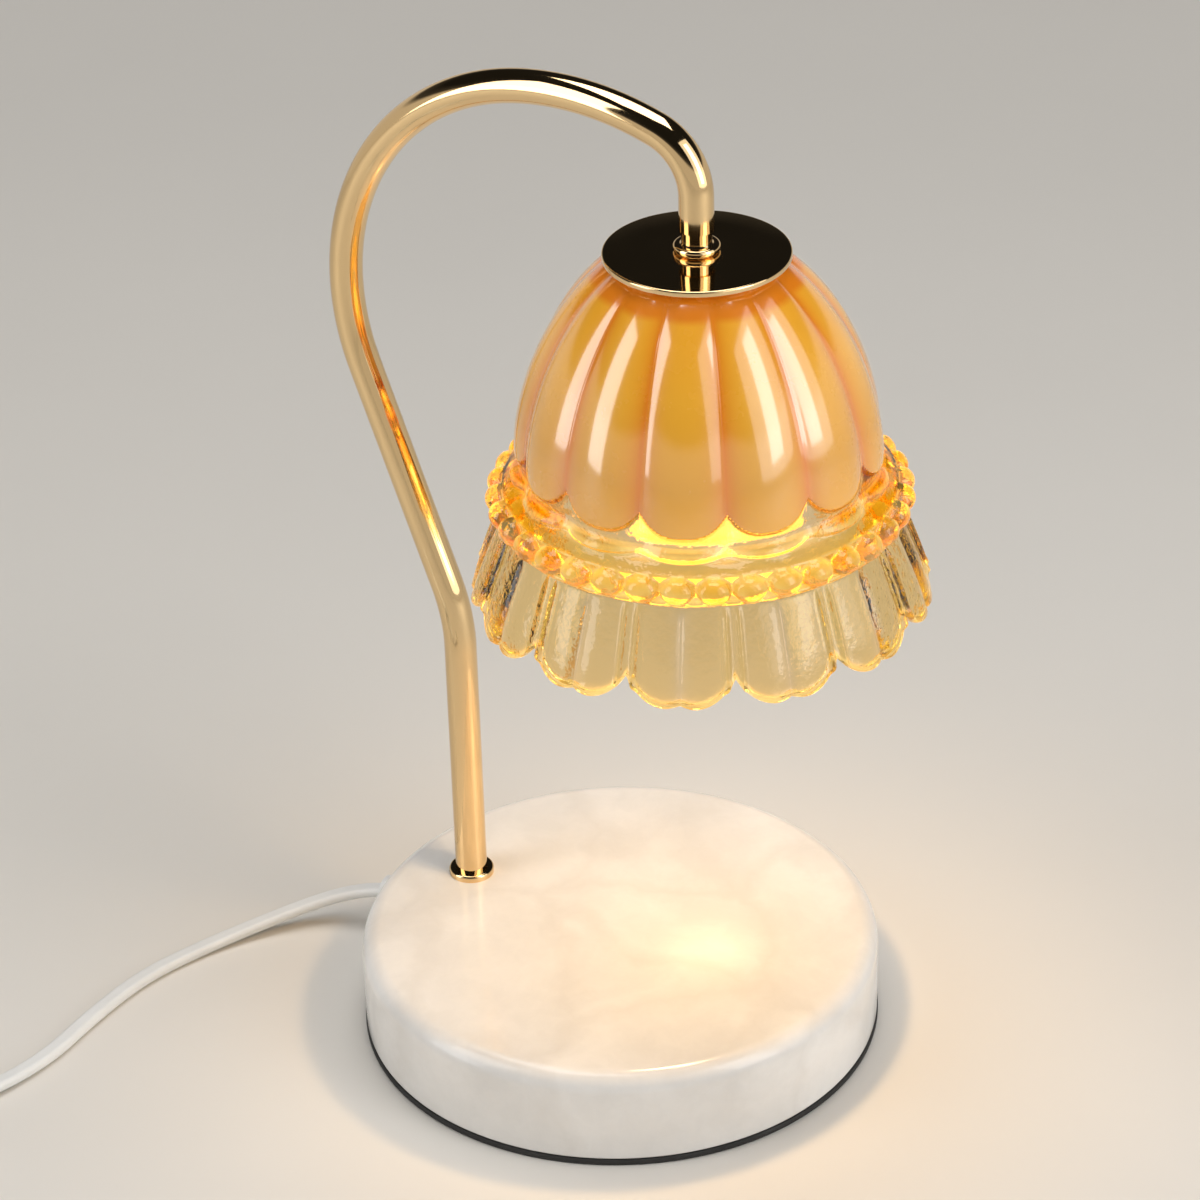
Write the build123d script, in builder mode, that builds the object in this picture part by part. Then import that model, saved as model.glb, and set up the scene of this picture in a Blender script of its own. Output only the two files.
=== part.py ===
from build123d import *
import os
from math import acos, cos, pi, radians, sin, sqrt, tan

# Candle warmer lamp: a marble base, a bent tube and a pressed glass shade over the candle.
# Millimetres, +Z up. The origin is the centre of the base on the surface that it stands on;
# the arm's plane is y = 0, with its foot on -X and the shade on +X.

# ------------------------------------------------------------------ driving dimensions
# Base
base_radius = 80.5
marble_thickness = 30.0
base_edge_round = 6.0
base_lower_chamfer = 1.0
pad_thickness = 2.0
pad_overhang = 0.3
pocket_radius = 15.0
pocket_depth = 18.0

# Arm tube: a rise, a lean outward, a straight run, then three bends over to the head
foot_x = -55.5
tube_diameter = 10.0
tube_wall = 1.0
arm_rise = 83.7
lean_radius = 61.3
lean_angle = 20.7
run_length = 73.0
hook_radius = 76.6
hook_angle = 99.85
crown_radius = 92.6
crown_angle = 29.67
nose_radius = 18.2
nose_drop = 9.9

# Foot clamp
hole_clearance = 0.25
thread_clearance = 0.03
foot_ring_radius = 7.1
foot_ring_height = 2.2
foot_ring_round = 0.9
foot_washer_radius = 11.0
foot_washer_thickness = 1.5
lock_washer_radius = 8.6
lock_washer_thickness = 1.2
lock_washer_notches = 8
lock_washer_notch_radius = 1.1
foot_nut_across = 14.0
foot_nut_height = 5.0
thread_stand_out = 1.5

# Neck fitting and cap
spigot_length = 10.0
spigot_clearance = 0.05
neck_diameter = 8.7
neck_length = 4.0
collar_radius = 6.75
collar_height = 2.5
collar_round = 0.7
shank_diameter = 10.0
shank_bore = 5.2
shank_stand_out = 0.8
cap_radius = 26.6
cap_thickness = 1.0
cap_lip = 0.8
cap_round = 0.6
gasket_thickness = 0.8
cap_gasket_radius = 20.0
shade_gasket_radius = 15.5
shade_washer_radius = 15.0
shade_washer_thickness = 1.5
shade_nut_across = 14.0
shade_nut_height = 4.0
bracket_thickness = 1.5
bracket_nut_height = 3.0

# Glass shade: drops are from its top, rises from the skirt's upper edge
lobe_count = 13
lobe_phase = 4.9
shade_hole_radius = 5.6
top_plate = 3.6
dome_radius = 53.0
dome_belly_rise = 20.0
dome_overrun = 7.8
dome_power = 1.7
dome_tuck = 0.0149
dome_foot_rise = 8.2
dome_groove = 2.2
dome_groove_top = 1.3
dome_wall = 3.0
skirt_top_radius = 57.0
skirt_top_drop = 78.2
skirt_height = 29.0
skirt_slope = 0.42
skirt_curl = 2.1
skirt_groove_top = 0.6
skirt_groove = 2.4
skirt_wall = 2.6
ledge_top_inset = 8.0
ledge_top_rise = 15.5
ledge_edge_inset = 1.4
ledge_edge_rise = 9.2
rim_stand_out = 0.2
rim_lip_stand_out = 2.5
rim_lip_rise = 1.4
rim_lip_height = 1.5
bead_count = 36
bead_phase = 4.7
bead_radius = 4.6
bead_stand_out = 0.3
bead_rise = 4.0
petal_tip_rise = 0.5
petal_notch_rise = 8.5
petal_cut_inset = 10.0
petal_cut_reach = 20.0
petal_cut_overlap = 0.3
petal_cut_depth = 2.0

# Lampholder and GU10 lamp
holder_radius = 13.0
holder_height = 19.0
holder_gap = 6.8
holder_screw_x = 7.5
holder_screw_radius = 1.5
holder_screw_depth = 6.0
holder_screw_reach = 5.0
holder_screw_head = 2.6
holder_screw_head_height = 1.8
holder_chamfer = 1.0
holder_face = 4.0
chamber_wall = 0.4
chamber_depth = 8.4
bracket_reach = 12.0
bracket_width = 13.0
bracket_foot = 7.0
pin_spacing = 10.0
pin_neck_radius = 1.5
pin_head_radius = 2.5
pin_neck_length = 4.2
pin_head_length = 3.0
pin_clearance = 0.3
twist_angle = 20.0
contact_thickness = 0.5
contact_width = 4.0
contact_height = 12.0
pin_head_room = 4.0
bulb_radius = 25.0
bulb_length = 47.0
bulb_glass = 1.2
bulb_rim = 2.0
bulb_neck_radius = 11.5
bulb_bowl_radius = 21.5
bulb_base_height = 20.5
bulb_drum_height = 13.5
bulb_cap_radius = 10.0
burner_radius = 4.0
burner_length = 16.0
burner_round = 3.6

# Leads and cord
lead_radius = 0.95
lead_side = 1.3
lead_bend = 3.0
lead_fall = 2.0
lead_loop = 5.5
lead_entry = 3.0
cord_width = 5.6
cord_thickness = 3.4
cord_clearance = 0.1
cord_arc_share = 0.45
exit_height = 14.0
bushing_radius = 4.5
bushing_flange_radius = 6.2
bushing_flange = 1.6
bushing_tip_radius = 3.7
bushing_reach = 9.5

# In-line dimmer
dimmer_x = -168.2
dimmer_y = -209.1
dimmer_heading = -106.0
dimmer_length = 60.0
dimmer_width = 28.0
dimmer_height = 17.0
dimmer_corner = 8.0
dimmer_wall = 2.0
dimmer_split = 6.5
dimmer_edge_round = 1.6
dimmer_crown_round = 3.0
wheel_radius = 14.5
wheel_thickness = 5.0
wheel_offset = -3.0
wheel_base = 7.5
wheel_gap = 0.5
wheel_slot = 25.0
wheel_notches = 20
wheel_notch_radius = 0.8
shaft_radius = 2.5
shaft_clearance = 0.05
shaft_top = 15.5
boss_radius = 4.5
boss_gap = 0.4
board_length = 40.0
board_width = 20.0
board_thickness = 1.6
board_height = 3.4
board_rib = 1.5
board_rib_x = 12.0
pot_size = 10.0
pot_height = 2.2
terminal_length = 5.0
terminal_width = 10.0
terminal_height = 4.0
screw_x = 23.5
screw_y = 8.5
screw_radius = 1.25
screw_head_radius = 2.2
screw_head_height = 1.6
screw_recess = 0.4
screw_length = 10.0
screw_post_radius = 3.2
screw_boss_radius = 2.8
sleeve_flange_radius = 4.4
sleeve_flange = 1.5
sleeve_neck_radius = 3.6
sleeve_root_radius = 4.2
sleeve_tip_radius = 3.5
sleeve_length = 18.0
sheath_gap = 0.3
entry_run = 3.5

# Coil and plug
coil_x = -119.0
coil_y = -233.6
coil_radius = 28.0
coil_width = 16.8
coil_height = 6.9
coil_bevel = 1.5
tie_width = 4.0
tie_thickness = 0.8
tie_angle = 140.0
plug_x = 9.3
plug_y = -228.7
plug_heading = -20.0
plug_height = 14.4
plug_width = 24.0
plug_length = 26.0
plug_back_width = 12.0
plug_back_height = 9.0
plug_corner = 4.0
plug_relief = 20.0
plug_relief_radius = 3.6
plug_cord_depth = 12.0
blade_spacing = 12.7
blade_height = 6.35
blade_thickness = 1.5
blade_length = 17.5
blade_depth = 10.0
blade_hole_radius = 1.6
blade_hole_place = 11.7

os.makedirs("parts", exist_ok=True)

# ------------------------------------------------------------------ heights that follow
base_top = pad_thickness + marble_thickness
pocket_ceiling = pad_thickness + pocket_depth
foot_washer_base = pocket_ceiling - foot_washer_thickness
lock_washer_base = foot_washer_base - lock_washer_thickness
foot_nut_base = lock_washer_base - foot_nut_height
tube_foot = foot_nut_base - thread_stand_out
tube_radius = tube_diameter / 2
tube_bore = tube_radius - tube_wall
nose_angle = 180 + lean_angle - hook_angle - crown_angle


# ------------------------------------------------------------------ centre lines
def arm_bends(rise):
    """Add the bends after the upright line `rise` to the open line block."""
    lean = JernArc(rise @ 1, rise % 1, lean_radius, lean_angle)
    run = Line(lean @ 1, (lean @ 1) + (lean % 1) * run_length)
    hook = JernArc(run @ 1, run % 1, hook_radius, -hook_angle)
    crown = JernArc(hook @ 1, hook % 1, crown_radius, -crown_angle)
    return JernArc(crown @ 1, crown % 1, nose_radius, -nose_angle)


def arm_course():
    """Centre line of the arm tube, from its threaded foot to its end over the shade."""
    with BuildLine(Plane.XZ) as course:
        rise = Line((foot_x, tube_foot), (foot_x, base_top + arm_rise))
        nose = arm_bends(rise)
        Line(nose @ 1, (nose @ 1) + (nose % 1) * nose_drop)
    return course.wires()[0]


def lead_course(side):
    """Centre line of a lead: out of the cord, under the tube's foot and up to the holder."""
    with BuildLine(Plane.XZ.offset(-side)) as course:
        entry = JernArc((sheath_end_x, exit_height), (1, 0), lead_bend, -90)
        fall = Line(entry @ 1, (entry @ 1) + (entry % 1) * lead_fall)
        under = JernArc(fall @ 1, fall % 1, lead_loop, 180)
        rise_length = base_top + arm_rise - exit_height + lead_bend + lead_fall
        rise = Line(under @ 1, (under @ 1) + (under % 1) * rise_length)
        nose = arm_bends(rise)
        Line(nose @ 1, (nose @ 1) + (nose % 1) * (nose_drop + lead_drop))
    return course.wires()[0]


def cord_course(name, points):
    """Centre line of a cord: straight runs joined by arcs as large as the runs allow."""
    corners = [Vector(*point) for point in points]
    radii = []
    for before, corner, after in zip(corners, corners[1:], corners[2:]):
        run_in = corner - before
        run_out = after - corner
        turn = acos(run_in.dot(run_out) / (run_in.length * run_out.length))
        radii.append(cord_arc_share * min(run_in.length, run_out.length) / tan(turn / 2))
    print(name, "radii", [round(radius) for radius in radii])
    with BuildLine() as course:
        FilletPolyline(*corners, radius=radii)
    return course.wires()[0]


def level_side(course):
    """Direction across a cord at its start, for wide sides that lie level halfway along."""
    steps = 100
    side = Vector(0, 0, 1).cross(course % 0.5)
    for step in range(steps, -1, -1):
        forward = course % (0.5 * step / steps)
        side = (side - forward * side.dot(forward)).normalized()
    return side


def cord_start(course):
    """Plane square to a cord at its start."""
    return Plane(origin=course @ 0, x_dir=level_side(course), z_dir=course % 0)


def cord_passage(course):
    """A cord's shape with its clearance, for the bore that it passes through."""
    with BuildPart() as passage:
        with BuildSketch(cord_start(course)):
            SlotOverall(cord_width + 2 * cord_clearance, cord_thickness + 2 * cord_clearance)
        sweep(path=course)
    return passage.part


def report_cord(name, cord, course):
    """Compare a cord's volume with its section times its length."""
    section = pi * cord_thickness**2 / 4 + (cord_width - cord_thickness) * cord_thickness
    ratio = cord.volume / (section * course.length)
    print(name, "length", round(course.length, 1), "volume ratio", round(ratio, 4))


arm = arm_course()
head_x = (arm @ 1).X
tube_end = (arm @ 1).Z

# ------------------------------------------------------------------ the stack at the head
collar_base = tube_end - neck_length - collar_height
cap_base = collar_base - cap_thickness
shade_top = cap_base - gasket_thickness
shade_gasket_base = shade_top - top_plate - gasket_thickness
shade_washer_base = shade_gasket_base - shade_washer_thickness
shade_nut_base = shade_washer_base - shade_nut_height
bracket_base = shade_nut_base - bracket_thickness
bracket_nut_base = bracket_base - bracket_nut_height
shank_base = bracket_nut_base - shank_stand_out
holder_top = bracket_nut_base - holder_gap
holder_base = holder_top - holder_height
bulb_front = holder_base - bulb_length
shank_radius = shank_diameter / 2


def foot_level(height):
    """Level plane on the tube's foot axis."""
    return Plane(origin=(foot_x, 0, height))


def head_level(height):
    """Level plane on the head's axis."""
    return Plane(origin=(head_x, 0, height))


head_axis = Axis((head_x, 0, 0), (0, 0, 1))
head_section = Plane(origin=(head_x, 0, 0), x_dir=(1, 0, 0), z_dir=(0, -1, 0))

# ------------------------------------------------------------------ planes of the dimmer and the plug
forward = (cos(radians(dimmer_heading)), sin(radians(dimmer_heading)))
dimmer = Plane(origin=(dimmer_x, dimmer_y, 0), x_dir=(*forward, 0), z_dir=(0, 0, 1))
half_length = dimmer_length / 2
half_width = dimmer_width / 2
ceiling = dimmer_height - dimmer_wall
inner_length = dimmer_length - 2 * dimmer_wall
inner_width = dimmer_width - 2 * dimmer_wall
inner_corner = dimmer_corner - dimmer_wall
wheel_top = wheel_base + wheel_thickness
board_top = board_height + board_thickness
sheath_end = board_length / 2 + sheath_gap


def dimmer_level(height):
    """Level plane of the dimmer, with X along the cord."""
    return dimmer.offset(height)


def dimmer_cross(distance):
    """Plane across the cord at a distance from the dimmer's middle, on the cord's line."""
    return Plane(
        origin=dimmer.from_local_coords((distance, 0, dimmer_split)),
        x_dir=dimmer.y_dir,
        z_dir=dimmer.x_dir,
    )


def dimmer_point(distance):
    """Point of the cord's line at a distance from the dimmer's middle."""
    return tuple(dimmer.from_local_coords((distance, 0, dimmer_split)))


plug_forward = (cos(radians(plug_heading)), sin(radians(plug_heading)), 0)
plug = Plane(origin=(plug_x, plug_y, plug_height / 2), x_dir=plug_forward, z_dir=(0, 0, 1))


def plug_cross(distance):
    """Plane across the plug at a distance from its face, on the plug's axis."""
    return Plane(
        origin=plug.from_local_coords((distance, 0, 0)), x_dir=plug.y_dir, z_dir=plug.x_dir
    )


# ------------------------------------------------------------------ cords' routes
# Chosen by hand. The coil between the supply cord and the plug's cord is one closed ring.
# The first and last points, in the base, the dimmer and the plug, follow from their places.
lamp_cord_points = [
    (-79.5, 0, 14.1),
    (-90, -0.6, 13.1),
    (-101, -4.2, 10.4),
    (-111.5, -12.2, 6.9),
    (-122, -25.5, 3.6),
    (-131.5, -43, 1.75),
    (-139, -66, 1.75),
    (-140, -92, 1.75),
    (-138.5, -117, 1.75),
    (-144, -142, 2.6),
    (-155, -163, 5.9),
]
supply_cord_points = [
    (-181.4, -255.3, 5.9),
    (-182.4, -269.3, 4.6),
    (-177.4, -282.3, 3.4),
    (-167.3, -292.1, 2.5),
    (-154.1, -296.6, 1.95),
    (-140.1, -295.2, 1.75),
    (-128, -288.2, 1.75),
    (-113.4, -274.6, 1.75),
    (-95.7, -257.8, 1.75),
]
plug_cord_points = [
    (-86.5, -242.3, 5.15),
    (-83.2, -229, 4.6),
    (-75.1, -217.6, 3.9),
    (-63.2, -210.4, 3.7),
    (-49.3, -208.7, 4.8),
    (-35.8, -212.3, 6.6),
]


# ------------------------------------------------------------------ base
with BuildPart() as base_pad:
    with BuildSketch():
        Circle(base_radius + pad_overhang)
    extrude(amount=pad_thickness)
base_pad.part.label = "base_pad"
export_step(base_pad.part, "parts/base_pad.step")

with BuildPart() as marble_base:
    with BuildSketch(Plane.XY.offset(pad_thickness)):
        Circle(base_radius)
    extrude(amount=marble_thickness)
    fillet(marble_base.faces().sort_by(Axis.Z)[-1].edges(), base_edge_round)
    chamfer(marble_base.faces().sort_by(Axis.Z)[0].edges(), base_lower_chamfer)
    with BuildSketch(foot_level(pad_thickness)):
        Circle(pocket_radius)
    extrude(amount=pocket_depth, mode=Mode.SUBTRACT)
    with BuildSketch(foot_level(pad_thickness)):
        Circle(tube_radius + hole_clearance)
    extrude(amount=marble_thickness, mode=Mode.SUBTRACT)
    with BuildSketch(Plane.YZ.offset(foot_x)):
        with Locations((0, exit_height)):
            Circle(bushing_radius)
    extrude(amount=-(base_radius + foot_x), mode=Mode.SUBTRACT)
marble_base.part.label = "marble_base"
export_step(marble_base.part, "parts/marble_base.step")

with BuildPart() as foot_ring:
    with BuildSketch(foot_level(base_top)):
        Circle(foot_ring_radius)
        Circle(tube_radius + thread_clearance, mode=Mode.SUBTRACT)
    extrude(amount=foot_ring_height)
    fillet(foot_ring.faces().sort_by(Axis.Z)[-1].edges().sort_by(SortBy.RADIUS)[-1], foot_ring_round)
foot_ring.part.label = "foot_ring"
export_step(foot_ring.part, "parts/foot_ring.step")

with BuildPart() as foot_washer:
    with BuildSketch(foot_level(foot_washer_base)):
        Circle(foot_washer_radius)
        Circle(tube_radius + hole_clearance, mode=Mode.SUBTRACT)
    extrude(amount=foot_washer_thickness)
foot_washer.part.label = "foot_washer"
export_step(foot_washer.part, "parts/foot_washer.step")

with BuildPart() as foot_lock_washer:
    with BuildSketch(foot_level(lock_washer_base)):
        Circle(lock_washer_radius)
        Circle(tube_radius + hole_clearance, mode=Mode.SUBTRACT)
        with PolarLocations(lock_washer_radius, lock_washer_notches):
            Circle(lock_washer_notch_radius, mode=Mode.SUBTRACT)
    extrude(amount=lock_washer_thickness)
foot_lock_washer.part.label = "foot_lock_washer"
export_step(foot_lock_washer.part, "parts/foot_lock_washer.step")

with BuildPart() as foot_nut:
    with BuildSketch(foot_level(foot_nut_base)):
        RegularPolygon(foot_nut_across / 2, 6, major_radius=False)
        Circle(tube_radius + thread_clearance, mode=Mode.SUBTRACT)
    extrude(amount=foot_nut_height)
foot_nut.part.label = "foot_nut"
export_step(foot_nut.part, "parts/foot_nut.step")

# ------------------------------------------------------------------ arm
with BuildPart() as arm_tube:
    with BuildSketch(Plane(origin=arm @ 0, z_dir=arm % 0)):
        Circle(tube_radius)
        Circle(tube_bore, mode=Mode.SUBTRACT)
    sweep(path=arm)
arm_tube.part.label = "arm_tube"
export_step(arm_tube.part, "parts/arm_tube.step")

# ------------------------------------------------------------------ leads and cord
sheath_end_x = foot_x - lead_loop * 2 - lead_bend
lead_top = holder_top - lead_entry
lead_drop = tube_end - lead_top
live_course = lead_course(-lead_side)
neutral_course = lead_course(lead_side)
lamp_course = cord_course(
    "lamp_cord",
    [(sheath_end_x, 0, exit_height)]
    + lamp_cord_points
    + [dimmer_point(-half_length - entry_run), dimmer_point(-sheath_end)],
)

with BuildPart() as live_lead:
    with BuildSketch(Plane(origin=live_course @ 0, z_dir=live_course % 0)):
        Circle(lead_radius)
    sweep(path=live_course)
live_lead.part.label = "live_lead"
export_step(live_lead.part, "parts/live_lead.step")

with BuildPart() as neutral_lead:
    with BuildSketch(Plane(origin=neutral_course @ 0, z_dir=neutral_course % 0)):
        Circle(lead_radius)
    sweep(path=neutral_course)
neutral_lead.part.label = "neutral_lead"
export_step(neutral_lead.part, "parts/neutral_lead.step")

with BuildPart() as lamp_cord:
    with BuildSketch(cord_start(lamp_course)):
        SlotOverall(cord_width, cord_thickness)
    sweep(path=lamp_course)
lamp_cord.part.label = "lamp_cord"
export_step(lamp_cord.part, "parts/lamp_cord.step")
report_cord("lamp_cord", lamp_cord.part, lamp_course)

# Strain relief: a plug in the base's hole, a flange bedded on its round side, a tapered tail
lamp_passage = cord_passage(lamp_course)
with BuildPart() as cord_bushing:
    with BuildSketch(Plane.YZ.offset(-base_radius - bushing_flange)):
        with Locations((0, exit_height)):
            Circle(bushing_flange_radius)
    extrude(amount=2 * bushing_flange)
    with BuildSketch(Plane.XY):
        Circle(base_radius)
    extrude(amount=base_top, mode=Mode.SUBTRACT)
    with BuildSketch(Plane.YZ.offset(-base_radius - bushing_flange)):
        with Locations((0, exit_height)):
            Circle(bushing_radius - hole_clearance / 2)
    extrude(amount=base_radius + bushing_flange + foot_x - pocket_radius)
    with BuildSketch(Plane.YZ.offset(-base_radius - bushing_flange)):
        with Locations((0, exit_height)):
            Circle(bushing_radius)
    with BuildSketch(Plane.YZ.offset(-base_radius - bushing_reach)):
        with Locations((0, exit_height)):
            Circle(bushing_tip_radius)
    loft()
    add(lamp_passage, mode=Mode.SUBTRACT)
cord_bushing.part.label = "cord_bushing"
export_step(cord_bushing.part, "parts/cord_bushing.step")

# ------------------------------------------------------------------ neck fitting and cap
with BuildPart() as neck_fitting:
    with BuildSketch(head_level(shank_base)):
        Circle(shank_radius)
    extrude(amount=collar_base - shank_base)
    with BuildSketch(head_level(collar_base)):
        Circle(collar_radius)
    extrude(amount=collar_height)
    fillet(neck_fitting.edges().filter_by(GeomType.CIRCLE).sort_by(SortBy.RADIUS)[-2:], collar_round)
    with BuildSketch(head_level(collar_base + collar_height)):
        Circle(neck_diameter / 2)
    extrude(amount=neck_length)
    with BuildSketch(head_level(tube_end)):
        Circle(tube_bore - spigot_clearance)
    extrude(amount=spigot_length)
    with BuildSketch(head_level(shank_base)):
        Circle(shank_bore / 2)
    extrude(amount=tube_end + spigot_length - shank_base, mode=Mode.SUBTRACT)
neck_fitting.part.label = "neck_fitting"
export_step(neck_fitting.part, "parts/neck_fitting.step")

with BuildPart() as shade_cap:
    with BuildSketch(head_level(cap_base)):
        Circle(cap_radius)
    extrude(amount=cap_thickness)
    fillet(shade_cap.faces().sort_by(Axis.Z)[-1].edges(), cap_round)
    with BuildSketch(head_level(cap_base - cap_lip)):
        Circle(cap_radius)
        Circle(cap_radius - cap_thickness, mode=Mode.SUBTRACT)
    extrude(amount=cap_lip)
    with BuildSketch(head_level(cap_base)):
        Circle(shank_radius + hole_clearance)
    extrude(amount=cap_thickness, mode=Mode.SUBTRACT)
shade_cap.part.label = "shade_cap"
export_step(shade_cap.part, "parts/shade_cap.step")

with BuildPart() as cap_gasket:
    with BuildSketch(head_level(shade_top)):
        Circle(cap_gasket_radius)
        Circle(shank_radius + hole_clearance, mode=Mode.SUBTRACT)
    extrude(amount=gasket_thickness)
cap_gasket.part.label = "cap_gasket"
export_step(cap_gasket.part, "parts/cap_gasket.step")

with BuildPart() as shade_gasket:
    with BuildSketch(head_level(shade_gasket_base)):
        Circle(shade_gasket_radius)
        Circle(shank_radius + hole_clearance, mode=Mode.SUBTRACT)
    extrude(amount=gasket_thickness)
shade_gasket.part.label = "shade_gasket"
export_step(shade_gasket.part, "parts/shade_gasket.step")

with BuildPart() as shade_washer:
    with BuildSketch(head_level(shade_washer_base)):
        Circle(shade_washer_radius)
        Circle(shank_radius + hole_clearance, mode=Mode.SUBTRACT)
    extrude(amount=shade_washer_thickness)
shade_washer.part.label = "shade_washer"
export_step(shade_washer.part, "parts/shade_washer.step")

with BuildPart() as shade_nut:
    with BuildSketch(head_level(shade_nut_base)):
        RegularPolygon(shade_nut_across / 2, 6, major_radius=False)
        Circle(shank_radius + thread_clearance, mode=Mode.SUBTRACT)
    extrude(amount=shade_nut_height)
shade_nut.part.label = "shade_nut"
export_step(shade_nut.part, "parts/shade_nut.step")

# ------------------------------------------------------------------ glass shade
skirt_top = shade_top - skirt_top_drop
dome_belly = skirt_top + dome_belly_rise
dome_rise = shade_top + dome_overrun - dome_belly
skirt_foot = skirt_top - skirt_height
dome_foot = skirt_top + dome_foot_rise
ledge_top = skirt_top + ledge_top_rise
ledge_edge = skirt_top + ledge_edge_rise
ledge_edge_radius = skirt_top_radius - ledge_edge_inset
rim_radius = skirt_top_radius + rim_stand_out
rim_lip_top = skirt_top + rim_lip_rise
rim_lip_radius = skirt_top_radius + rim_lip_stand_out
lobe_step = 360 / lobe_count


def polar(radius, angle):
    """Point of a level sketch at an angle in degrees."""
    return (radius * cos(radians(angle)), radius * sin(radians(angle)))


def dome_crest(height):
    """Radius over the middle of a flute: a full bell above the belly, tucked in below."""
    rise = height - dome_belly
    if rise > 0:
        return dome_radius * sqrt(1 - (rise / dome_rise) ** dome_power)
    return dome_radius - dome_tuck * rise**2


def dome_groove_depth(height):
    """The grooves between the flutes grow shallow toward the top."""
    share = (shade_top - height) / (shade_top - dome_belly)
    return dome_groove_top + (dome_groove - dome_groove_top) * share


def skirt_crest(height):
    """Radius over the middle of a petal: a straight flare that curls in at its edge."""
    drop = skirt_top - height
    return skirt_top_radius + skirt_slope * drop - skirt_curl * (drop / skirt_height) ** 6


def skirt_groove_depth(height):
    """The grooves between the petals deepen toward the edge."""
    share = (skirt_top - height) / skirt_height
    return skirt_groove_top + (skirt_groove - skirt_groove_top) * share


def dome_inside(height):
    """Radius of the dome's smooth inner face."""
    return dome_crest(height) - dome_groove_depth(height) - dome_wall


def skirt_inside(height):
    """Radius of the skirt's smooth inner face."""
    return skirt_crest(height) - skirt_groove_depth(height) - skirt_wall


def spread(first, last, count):
    """Evenly spaced heights."""
    return [first + (last - first) * index / (count - 1) for index in range(count)]


def scalloped(height, crest, depth):
    """Level section with one outward arc over each lobe."""
    with BuildSketch(head_level(height)) as section:
        with BuildLine():
            for index in range(lobe_count):
                left = lobe_phase + lobe_step * index
                ThreePointArc(
                    polar(crest - depth, left),
                    polar(crest, left + lobe_step / 2),
                    polar(crest - depth, left + lobe_step),
                )
        make_face()
    return section.sketch


dome_heights = [
    shade_top - (shade_top - dome_foot) * cos(pi / 2 * share) for share in spread(0, 1, 8)
]

# Cutter below one petal's edge, from inside the glass to outside it
with BuildPart() as petal_cutter:
    for reach in (skirt_top_radius - petal_cut_inset, skirt_top_radius + petal_cut_reach):
        half = reach * tan(radians(lobe_step / 2)) + petal_cut_overlap
        with BuildSketch(Plane.YZ.offset(reach)):
            with BuildLine():
                ThreePointArc(
                    (-half, skirt_foot + petal_notch_rise),
                    (0, skirt_foot + petal_tip_rise),
                    (half, skirt_foot + petal_notch_rise),
                )
                Polyline(
                    (half, skirt_foot + petal_notch_rise),
                    (half, skirt_foot - petal_cut_depth),
                    (-half, skirt_foot - petal_cut_depth),
                    (-half, skirt_foot + petal_notch_rise),
                )
            make_face()
    loft(ruled=True)

with BuildPart() as glass_shade:
    # fluted dome
    for height in dome_heights:
        add(scalloped(height, dome_crest(height), dome_groove_depth(height)))
    loft()
    # petalled skirt
    for height in spread(skirt_top + rim_lip_height, skirt_foot, 6):
        add(scalloped(height, skirt_crest(height), skirt_groove_depth(height)))
    loft()
    # ledge with its rim and lip
    with BuildSketch(head_section):
        with BuildLine():
            Polyline(
                (0, skirt_top),
                (0, ledge_top),
                (skirt_top_radius - ledge_top_inset, ledge_top),
                (ledge_edge_radius, ledge_edge),
                (rim_radius, ledge_edge - (rim_radius - ledge_edge_radius)),
                (rim_radius, rim_lip_top),
                (rim_lip_radius, rim_lip_top),
                (rim_lip_radius, rim_lip_top - rim_lip_height),
                (skirt_top_radius - skirt_wall, skirt_top),
                close=True,
            )
        make_face()
    revolve(axis=head_axis)
    # ring of beads
    with Locations(head_level(skirt_top + bead_rise)):
        with PolarLocations(skirt_top_radius + bead_stand_out, bead_count, start_angle=bead_phase):
            Sphere(bead_radius)
    # smooth inside
    with BuildSketch(head_section):
        with BuildLine():
            bottom = skirt_foot - petal_cut_depth
            flare = Spline(
                [(skirt_inside(height), height) for height in spread(bottom, skirt_top, 6)]
            )
            vault = Spline(
                [(dome_inside(height), height) for height in spread(ledge_top, shade_top - top_plate, 7)]
            )
            Line(flare @ 1, vault @ 0)
            Polyline(vault @ 1, (0, shade_top - top_plate), (0, bottom), flare @ 0)
        make_face()
    revolve(axis=head_axis, mode=Mode.SUBTRACT)
    with BuildSketch(head_level(shade_top)):
        Circle(shade_hole_radius)
    extrude(amount=-top_plate, mode=Mode.SUBTRACT)
    # scalloped edge
    with Locations(head_level(0)):
        with PolarLocations(0, lobe_count, start_angle=lobe_phase + lobe_step / 2):
            add(petal_cutter.part, mode=Mode.SUBTRACT)
glass_shade.part.label = "glass_shade"
export_step(glass_shade.part, "parts/glass_shade.step")

# ------------------------------------------------------------------ lampholder
# The bracket's legs and screws lie along X; the lamp's two pins lie along Y. The lamp is
# shown locked: it comes out after a turn of twist_angle, clockwise from above.
pin_circle = pin_spacing / 2
contact_y = pin_circle + pin_head_radius + pin_clearance
contact_base = holder_base + holder_face
contact_top = contact_base + contact_height
pin_tracks = [CenterArc((0, 0), pin_circle, side - twist_angle, twist_angle) for side in (90, 270)]

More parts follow.
